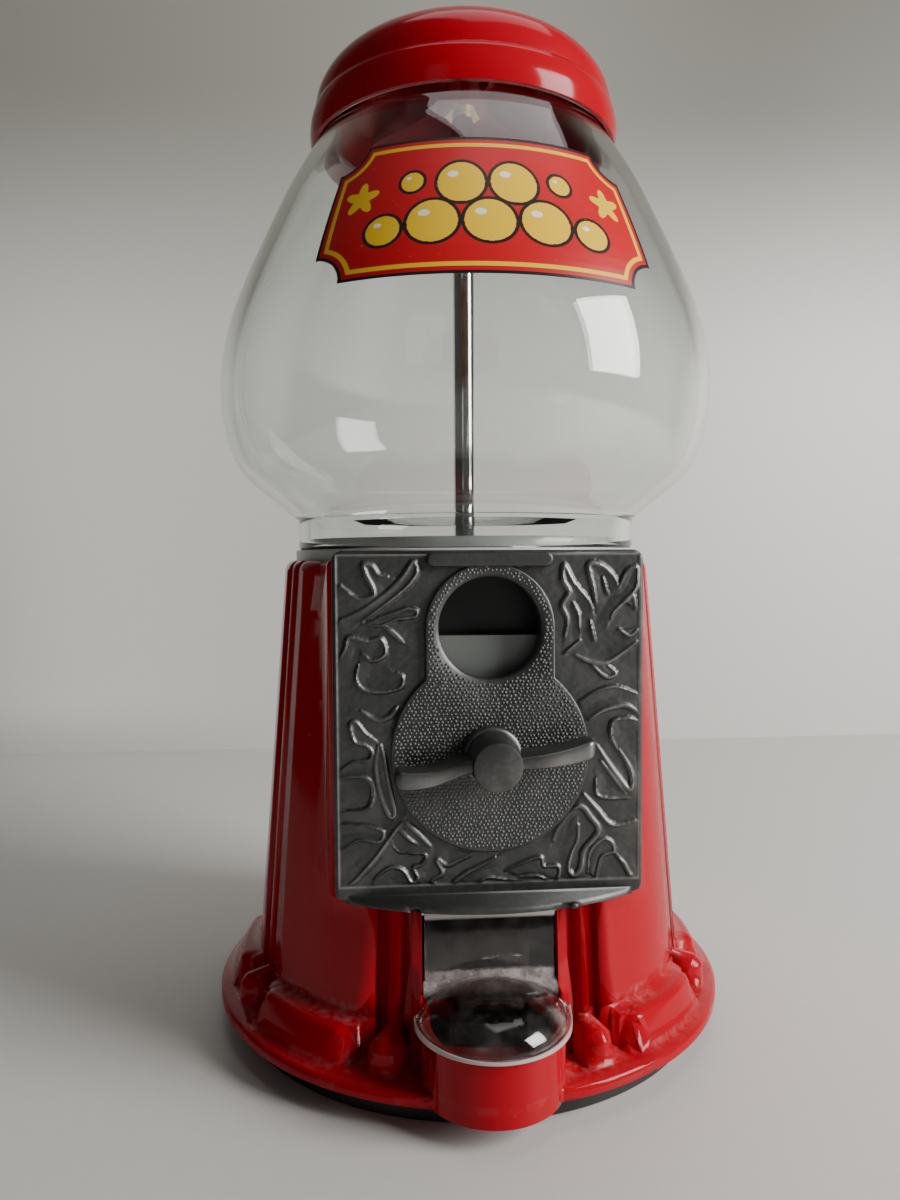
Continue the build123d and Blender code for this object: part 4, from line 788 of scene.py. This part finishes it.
def make_handle():
    """The stepped hub and the two bent wings that grow thicker towards their blunt tips."""
    profile = [(0.0, hub_front), (5.0, hub_front), (5.45, hub_front + 0.15), (5.6, hub_front + 0.6),
               (6.2, -65.7), (6.3, -65.25), (6.65, -65.15), (6.95, -64.85), (7.0, -64.4),
               (7.0, hub_back), (0.0, hub_back)]
    bm = bmesh.new()
    ring = [bm.verts.new((radius * MM, y * MM, 0.0)) for radius, y in profile]
    edges = [bm.edges.new(pair) for pair in zip(ring, ring[1:])]
    bmesh.ops.spin(bm, geom=ring + edges, cent=(0, 0, 0), axis=(0, 1, 0), angle=2 * math.pi,
                   steps=96, use_merge=True)
    bmesh.ops.remove_doubles(bm, verts=bm.verts, dist=0.001 * MM)
    line = curve_points(WING_LINE, 5)
    reach = abs(line[0][0])
    loops = []
    for x, middle in line:
        share = abs(x) / reach
        end = max(0.0, (abs(x) - (reach - wing_tip)) / wing_tip)
        blunt = math.sqrt(max(1 - end ** 2, 0.02))
        half = (wing_half + wing_swell * share ** 1.5) * (0.35 + 0.65 * blunt)
        front = wing_front + 1.4 * share ** 3 + 2.2 * (1 - blunt)
        back = wing_back - 1.2 * share ** 3 - 2.2 * (1 - blunt)
        corner = min(wing_corner, half * 0.75)
        corners = ((front + corner, half - corner, 90), (front + corner, corner - half, 180),
                   (back - corner, corner - half, 270), (back - corner, half - corner, 0))
        loop = []
        for side_y, side_z, start in corners:
            for step in range(corner_steps + 1):
                angle = math.radians(start + 90 * step / corner_steps)
                loop.append(bm.verts.new((x * MM, (side_y + corner * math.cos(angle)) * MM,
                                          (middle + side_z + corner * math.sin(angle)) * MM)))
        loops.append(loop)
    for first, second in zip(loops, loops[1:]):
        join_loops(bm, first, second)
    bm.faces.new(loops[0])
    bm.faces.new(loops[-1])
    bmesh.ops.recalc_face_normals(bm, faces=bm.faces)
    value = bm.verts.layers.float.new("rubbed")
    for vert in bm.verts:
        ahead = smooth_step(-vert.co.y / MM, 70.5, 73.2)
        outer = smooth_step(abs(vert.co.x) / MM, 7.0, 15.0)
        vert[value] = float(ahead * outer) * 0.42
    bmesh.ops.translate(bm, vec=(0, 0, axis_height * MM), verts=bm.verts)
    return finish_piece(bm, "handle_skin", handle_pewter, "drive", ("handle",), 38)


# ---------------------------------------------------------------- flap
seat_low = 20.9
seat_slope = 0.06
seat_sweep = 6.0
sweep_start = -66.0
sweep_end = -57.5


def rim_height(y):
    """The height of the flap's seat on the tray: nearly level in front, sweeping up to the panel."""
    swept = smooth_step(np.asarray(y, dtype=float), sweep_start, sweep_end)
    return seat_low + (y - tray_front) * seat_slope + seat_sweep * swept ** 1.5


def flap_reach(angle):
    """How far the flap's edge lies from its centre in one direction, in mm."""
    across, along = math.cos(angle), math.sin(angle)
    if along <= 0:
        return flap_radius
    reach = (panel_face - flap_centre) / along
    for _ in range(12):
        share = min(reach * along / (panel_face - flap_centre), 1.0)
        half = flap_radius - (flap_radius - panel_half - 0.4) * share ** 2
        reach = min(reach, half / max(abs(across), 1e-6))
    return reach


def make_flap_dome():
    """The clear dome with its rim: a closed shell, cut off where it meets the panel."""
    bm = bmesh.new()
    turns, rings = 128, 36
    shares = [math.sin(math.pi / 2 * step / rings) * dome_radius / flap_radius for step in range(rings + 1)]
    shares += [1 - (1 - shares[-1]) * 0.4, 1 - (1 - shares[-1]) * 0.1, 1.0]
    layers = []
    for lower in (False, True):
        loops = []
        for share in shares[1:]:
            loop = []
            for turn in range(turns):
                angle = 2 * math.pi * turn / turns
                out = flap_reach(angle) * share
                x, y = out * math.cos(angle), flap_centre + out * math.sin(angle)
                seat = float(rim_height(y))
                inset = dome_wall if lower else 0.0
                inside = max(0.0, 1 - (out / (dome_radius - inset)) ** 2)
                crown = dome_foot + (dome_height - inset) * math.sqrt(inside)
                edge = seat if lower else seat + rim_thickness - (0.25 if share == 1.0 else 0.0)
                loop.append(bm.verts.new((x * MM, y * MM, max(crown, edge) * MM)))
            loops.append(loop)
        peak = dome_foot + dome_height - (dome_wall if lower else 0.0)
        top = bm.verts.new((0, flap_centre * MM, peak * MM))
        for index in range(turns):
            bm.faces.new((top, loops[0][index], loops[0][(index + 1) % turns]))
        for first, second in zip(loops, loops[1:]):
            join_loops(bm, first, second)
        layers.append(loops[-1])
    join_loops(bm, *layers)
    bmesh.ops.recalc_face_normals(bm, faces=bm.faces)
    return finish_piece(bm, "flap_dome", flap_clear, "flap", degrees=50)


def make_flap_panel():
    """The flat panel and the knuckle that the hinge pin runs through."""
    lean = math.atan(panel_slope)
    bm = bmesh.new()
    bmesh.ops.create_cube(bm, size=1.0)
    bmesh.ops.scale(bm, vec=(2 * panel_half * MM, panel_thickness * MM, panel_length * MM), verts=bm.verts)
    bmesh.ops.bevel(bm, geom=bm.edges, offset=0.35 * MM, segments=2, profile=0.5, affect="EDGES")
    bmesh.ops.translate(bm, vec=(0, 0, -panel_length / 2 * MM), verts=bm.verts)
    bmesh.ops.rotate(bm, cent=(0, 0, 0), matrix=Matrix.Rotation(-lean, 3, "X"), verts=bm.verts)
    knuckle = bmesh.ops.create_cone(bm, cap_ends=True, segments=48, radius1=knuckle_radius * MM,
                                    radius2=knuckle_radius * MM, depth=2 * panel_half * MM,
                                    matrix=Matrix.Rotation(math.radians(90), 4, "Y"))["verts"]
    rims = list({edge for vert in knuckle for edge in vert.link_edges if len(edge.link_faces) == 2
                 and edge.calc_face_angle() > 1.0})
    bmesh.ops.bevel(bm, geom=rims, offset=0.3 * MM, segments=2, profile=0.5, affect="EDGES")
    bmesh.ops.translate(bm, vec=(0, hinge_depth * MM, hinge_height * MM), verts=bm.verts)
    bmesh.ops.recalc_face_normals(bm, faces=bm.faces)
    return finish_piece(bm, "flap_panel", flap_clear, "flap", ("flap",), 40)


# ---------------------------------------------------------------- flange, tray and hood
def reshape_copy(name, material, body, move, degrees=30):
    """A smooth copy of a CAD node whose points are moved by a rule, in mm."""
    obj = smooth_copy(name, material, body, degrees)
    for vert in obj.data.vertices:
        vert.co = Vector(move(*(vert.co / MM))) * MM
    return obj


def round_feet(obj):
    """Rounds the flange's feet: their fronts bowed across and their tops falling towards the front."""
    bm = bmesh.new()
    bm.from_mesh(obj.data)
    turns = [math.radians(cluster_step * (foot + 0.5)) for foot in range(8)]
    spots = [(math.sin(turn), -math.cos(turn)) for turn in turns]

    def local(co):
        """The foot's direction and a point's place on that foot, or None away from the feet."""
        for out_x, out_y in spots:
            along = (co.x * out_x + co.y * out_y) / MM
            aside = (co.x * out_y - co.y * out_x) / MM
            on_foot = abs(aside) < foot_half + 0.02 and foot_start < along < foot_front + 0.02
            if on_foot and co.z / MM > lip_top + 0.15:
                return out_x, out_y, aside, along
        return None

    whole = [face for face in bm.faces if all(local(vert.co) for vert in face.verts)]
    edges = list({edge for face in whole for edge in face.edges})
    bmesh.ops.subdivide_edges(bm, edges=edges, cuts=3, use_grid_fill=True)
    bmesh.ops.triangulate(bm, faces=[face for face in bm.faces if len(face.verts) > 4])
    for vert in bm.verts:
        found = local(vert.co)
        if found is None:
            continue
        out_x, out_y, aside, along = found
        share = smooth_step(along, foot_start, foot_front)
        back = foot_bow * (abs(aside) / foot_half) ** 2 * share
        drop = foot_fall * share * smooth_step(vert.co.z / MM, lip_top + 3.0, ring_top)
        vert.co -= Vector((out_x * back, out_y * back, float(drop))) * MM
    bmesh.ops.dissolve_degenerate(bm, dist=0.003 * MM, edges=bm.edges[:])
    bm.to_mesh(obj.data)
    bm.free()
    show_smooth(obj, 40)


def round_ring_ends(obj):
    """Draws the ends of the flange's raised arcs in and down, so that they die away softly."""
    bm = bmesh.new()
    bm.from_mesh(obj.data)
    for turn in range(0, 180, 45):
        for offset in (-14.3, -13.2, -12.1, -11.0, 11.0, 12.1, 13.2, 14.3):
            azimuth = math.radians(turn + offset)
            geometry = bm.verts[:] + bm.edges[:] + bm.faces[:]
            bmesh.ops.bisect_plane(bm, geom=geometry, dist=0.01 * MM, plane_co=(0, 0, 0),
                                   plane_no=(math.cos(azimuth), math.sin(azimuth), 0))
    for vert in bm.verts:
        across = math.hypot(vert.co.x, vert.co.y) / MM
        height = vert.co.z / MM
        azimuth = math.degrees(math.atan2(vert.co.x, -vert.co.y)) % 360
        segment = round(azimuth / cluster_step) % 8
        away = abs((azimuth + cluster_step / 2) % cluster_step - cluster_step / 2)
        if segment == 0 or away > arc_end + 0.3 or height < lip_top + 0.15:
            continue
        share = float(smooth_step(away, arc_soft, arc_end)) ** 2
        back = arc_draw * share * float(smooth_step(across, 65.0, 68.0))
        raised = smooth_step(height, lip_top + 3.0, ring_top) * smooth_step(across, 63.0, 67.0)
        drop = arc_fall * share * float(raised)
        vert.co.x -= vert.co.x / MM / across * back * MM
        vert.co.y -= vert.co.y / MM / across * back * MM
        vert.co.z -= drop * MM
    bm.to_mesh(obj.data)
    bm.free()
    show_smooth(obj, 40)


def lower_tray_rim(x, y, z):
    """Lowers the tray's sides to a rim that is nearly level, as the flap's seat."""
    old_low, old_slope, sink = 20.6, 0.314, 0.3
    if abs(x) < tray_outside and y < tray_back and z > tray_low:
        seat = old_low + (y - tray_front) * old_slope
        new_seat = float(rim_height(y)) - sink
        z = tray_low + (z - tray_low) * (new_seat - tray_low) / max(seat - tray_low, 0.05)
    return x, y, z


def level_hood(x, y, z):
    """Brings the hood to an even, thin lip whose top is level with the plate's foot."""
    hood_high, depth, fall = 52.2, 10.0, 1.6
    new_low, new_high = 50.15, 52.1
    if z < plate_low - 0.05 or (y < -plate_front - 0.02 and z < hood_high + 0.1):
        roof = hood_high - fall * max(-plate_front - y, 0.0) / depth
        z = new_low + (z - hood_low) * (new_high - new_low) / (roof - hood_low)
    return x, y, z


# ---------------------------------------------------------------- stage, light, camera
def make_sheet(name, material, turn, shift, half_width, half_depth):
    """A flat sheet, turned and then moved into place."""
    bm = bmesh.new()
    bmesh.ops.create_grid(bm, x_segments=1, y_segments=1, size=1.0)
    bmesh.ops.scale(bm, vec=(half_width, half_depth, 1), verts=bm.verts)
    bmesh.ops.transform(bm, matrix=Matrix.Translation(shift) @ turn, verts=bm.verts)
    mesh = bpy.data.meshes.new(name)
    bm.to_mesh(mesh)
    bm.free()
    mesh.materials.append(material)
    obj = bpy.data.objects.new(name, mesh)
    bpy.context.scene.collection.objects.link(obj)
    return obj


def make_stage():
    """A pale floor, a pale backdrop with painted shade that darkens it upwards, more so towards the right,
    and painted light on its lower left, and a dark card on the left, out of view.
    """
    made, tree, shader, place = new_material("pale floor", Roughness=0.5)
    x, _, z, _ = places_of(tree, place)
    speck = noise(tree, place, 220.0, 4.0)
    tone = blend(tree, speck, (0.60, 0.59, 0.565), (0.64, 0.63, 0.605))
    # Painted light: the backdrop's lower left, above the floor, is lightened as if lit there.
    painted_light_left = times(tree, spread(tree, z, 0.0, 0.04), spread(tree, x, -0.26, -0.05, 1.0, 0.0))
    tone = blend(tree, painted_light_left, tone, (0.83, 0.835, 0.80))
    # Painted shade: the backdrop darkens upwards, and more so towards the right, standing in for the room's
    # light falling off.
    dark = blend(tree, spread(tree, x, 0.0, 0.28), (0.30, 0.295, 0.26), (0.16, 0.155, 0.135))
    tone = blend(tree, spread(tree, z, 0.24, 0.46), tone, dark)
    put(tree, tone, shader.inputs["Base Color"])
    bump(tree, shader, noise(tree, place, 900.0, 2.0), 0.1, 0.05 * MM)
    card, card_tree, card_shader, card_place = new_material("dark card", Roughness=0.9)
    mottle = noise(card_tree, card_place, 90.0)
    put(card_tree, blend(card_tree, mottle, (0.015, 0.014, 0.013), (0.03, 0.028, 0.026)),
        card_shader.inputs["Base Color"])
    upright = Matrix.Rotation(math.radians(90), 4, "X")
    sideways = Matrix.Rotation(math.radians(90), 4, "Y")
    make_sheet("floor", made, Matrix.Identity(4), (0, 0, 0), 3.0, 3.0)
    make_sheet("backdrop", made, upright, (0, 0.35, 0), 3.0, 3.0)
    make_sheet("card", card, sideways, (-0.42, -0.25, 0.36), 0.36, 0.5)


def add_area(name, place, target, width, height, power, colour=(1, 1, 1)):
    """A soft rectangular light that faces a target."""
    light = bpy.data.lights.new(name, "AREA")
    light.shape = "RECTANGLE"
    light.size, light.size_y = width, height
    light.energy = power
    light.color = colour
    obj = bpy.data.objects.new(name, light)
    obj.location = place
    obj.rotation_mode = "QUATERNION"
    obj.rotation_quaternion = (Vector(target) - Vector(place)).to_track_quat("-Z", "Y")
    bpy.context.scene.collection.objects.link(obj)


def make_lights():
    """A soft window light from the right, a weak fill from the left and a dim room."""
    middle = (0, 0, 0.13)
    add_area("window", (0.75, -0.42, 0.46), middle, 0.40, 0.48, 15.0, (1.0, 0.985, 0.96))
    add_area("fill", (-0.5, -1.0, 0.5), middle, 0.5, 0.5, 0.35, (0.95, 0.97, 1.0))
    add_area("top", (0.15, 0.1, 1.2), middle, 0.7, 0.7, 2.5)
    world = bpy.data.worlds.new("room")
    bpy.context.scene.world = world
    world.use_nodes = True
    back = next(item for item in world.node_tree.nodes if item.type == "BACKGROUND")
    back.inputs["Color"].default_value = (0.80, 0.82, 0.84, 1.0)
    back.inputs["Strength"].default_value = 0.10


def make_camera():
    """The viewpoint: just below the collar's height and a little left of the middle."""
    turn, dip, roll = math.radians(4.5), math.radians(2.66), math.radians(-0.345)
    forward = Vector((math.sin(turn) * math.cos(dip), math.cos(turn) * math.cos(dip), -math.sin(dip)))
    camera = bpy.data.cameras.new("camera")
    camera.lens = 26.15
    camera.sensor_width = 36.0
    camera.clip_start = 0.01
    obj = bpy.data.objects.new("camera", camera)
    obj.rotation_mode = "QUATERNION"
    obj.rotation_quaternion = forward.to_track_quat("-Z", "Y") @ Matrix.Rotation(roll, 4, "Z").to_quaternion()
    obj.location = (-25.4 * MM, -263.7 * MM, 131.4 * MM)
    bpy.context.scene.collection.objects.link(obj)
    bpy.context.scene.camera = obj


paint_cad_nodes()
make_globe()
make_badge()
make_relief()
make_pebbles()
smooth_copy("body_shell", red_enamel, "base")
flange = reshape_copy("body_flange", red_enamel, "base", lower_tray_rim)
round_ring_ends(flange)
round_feet(flange)
reshape_copy("face_plate", pewter, "base", level_hood, 35)
smooth_copy("lid", lid_enamel, "lid")
make_handle()
make_flap_dome()
make_flap_panel()
make_stage()
make_lights()
make_camera()
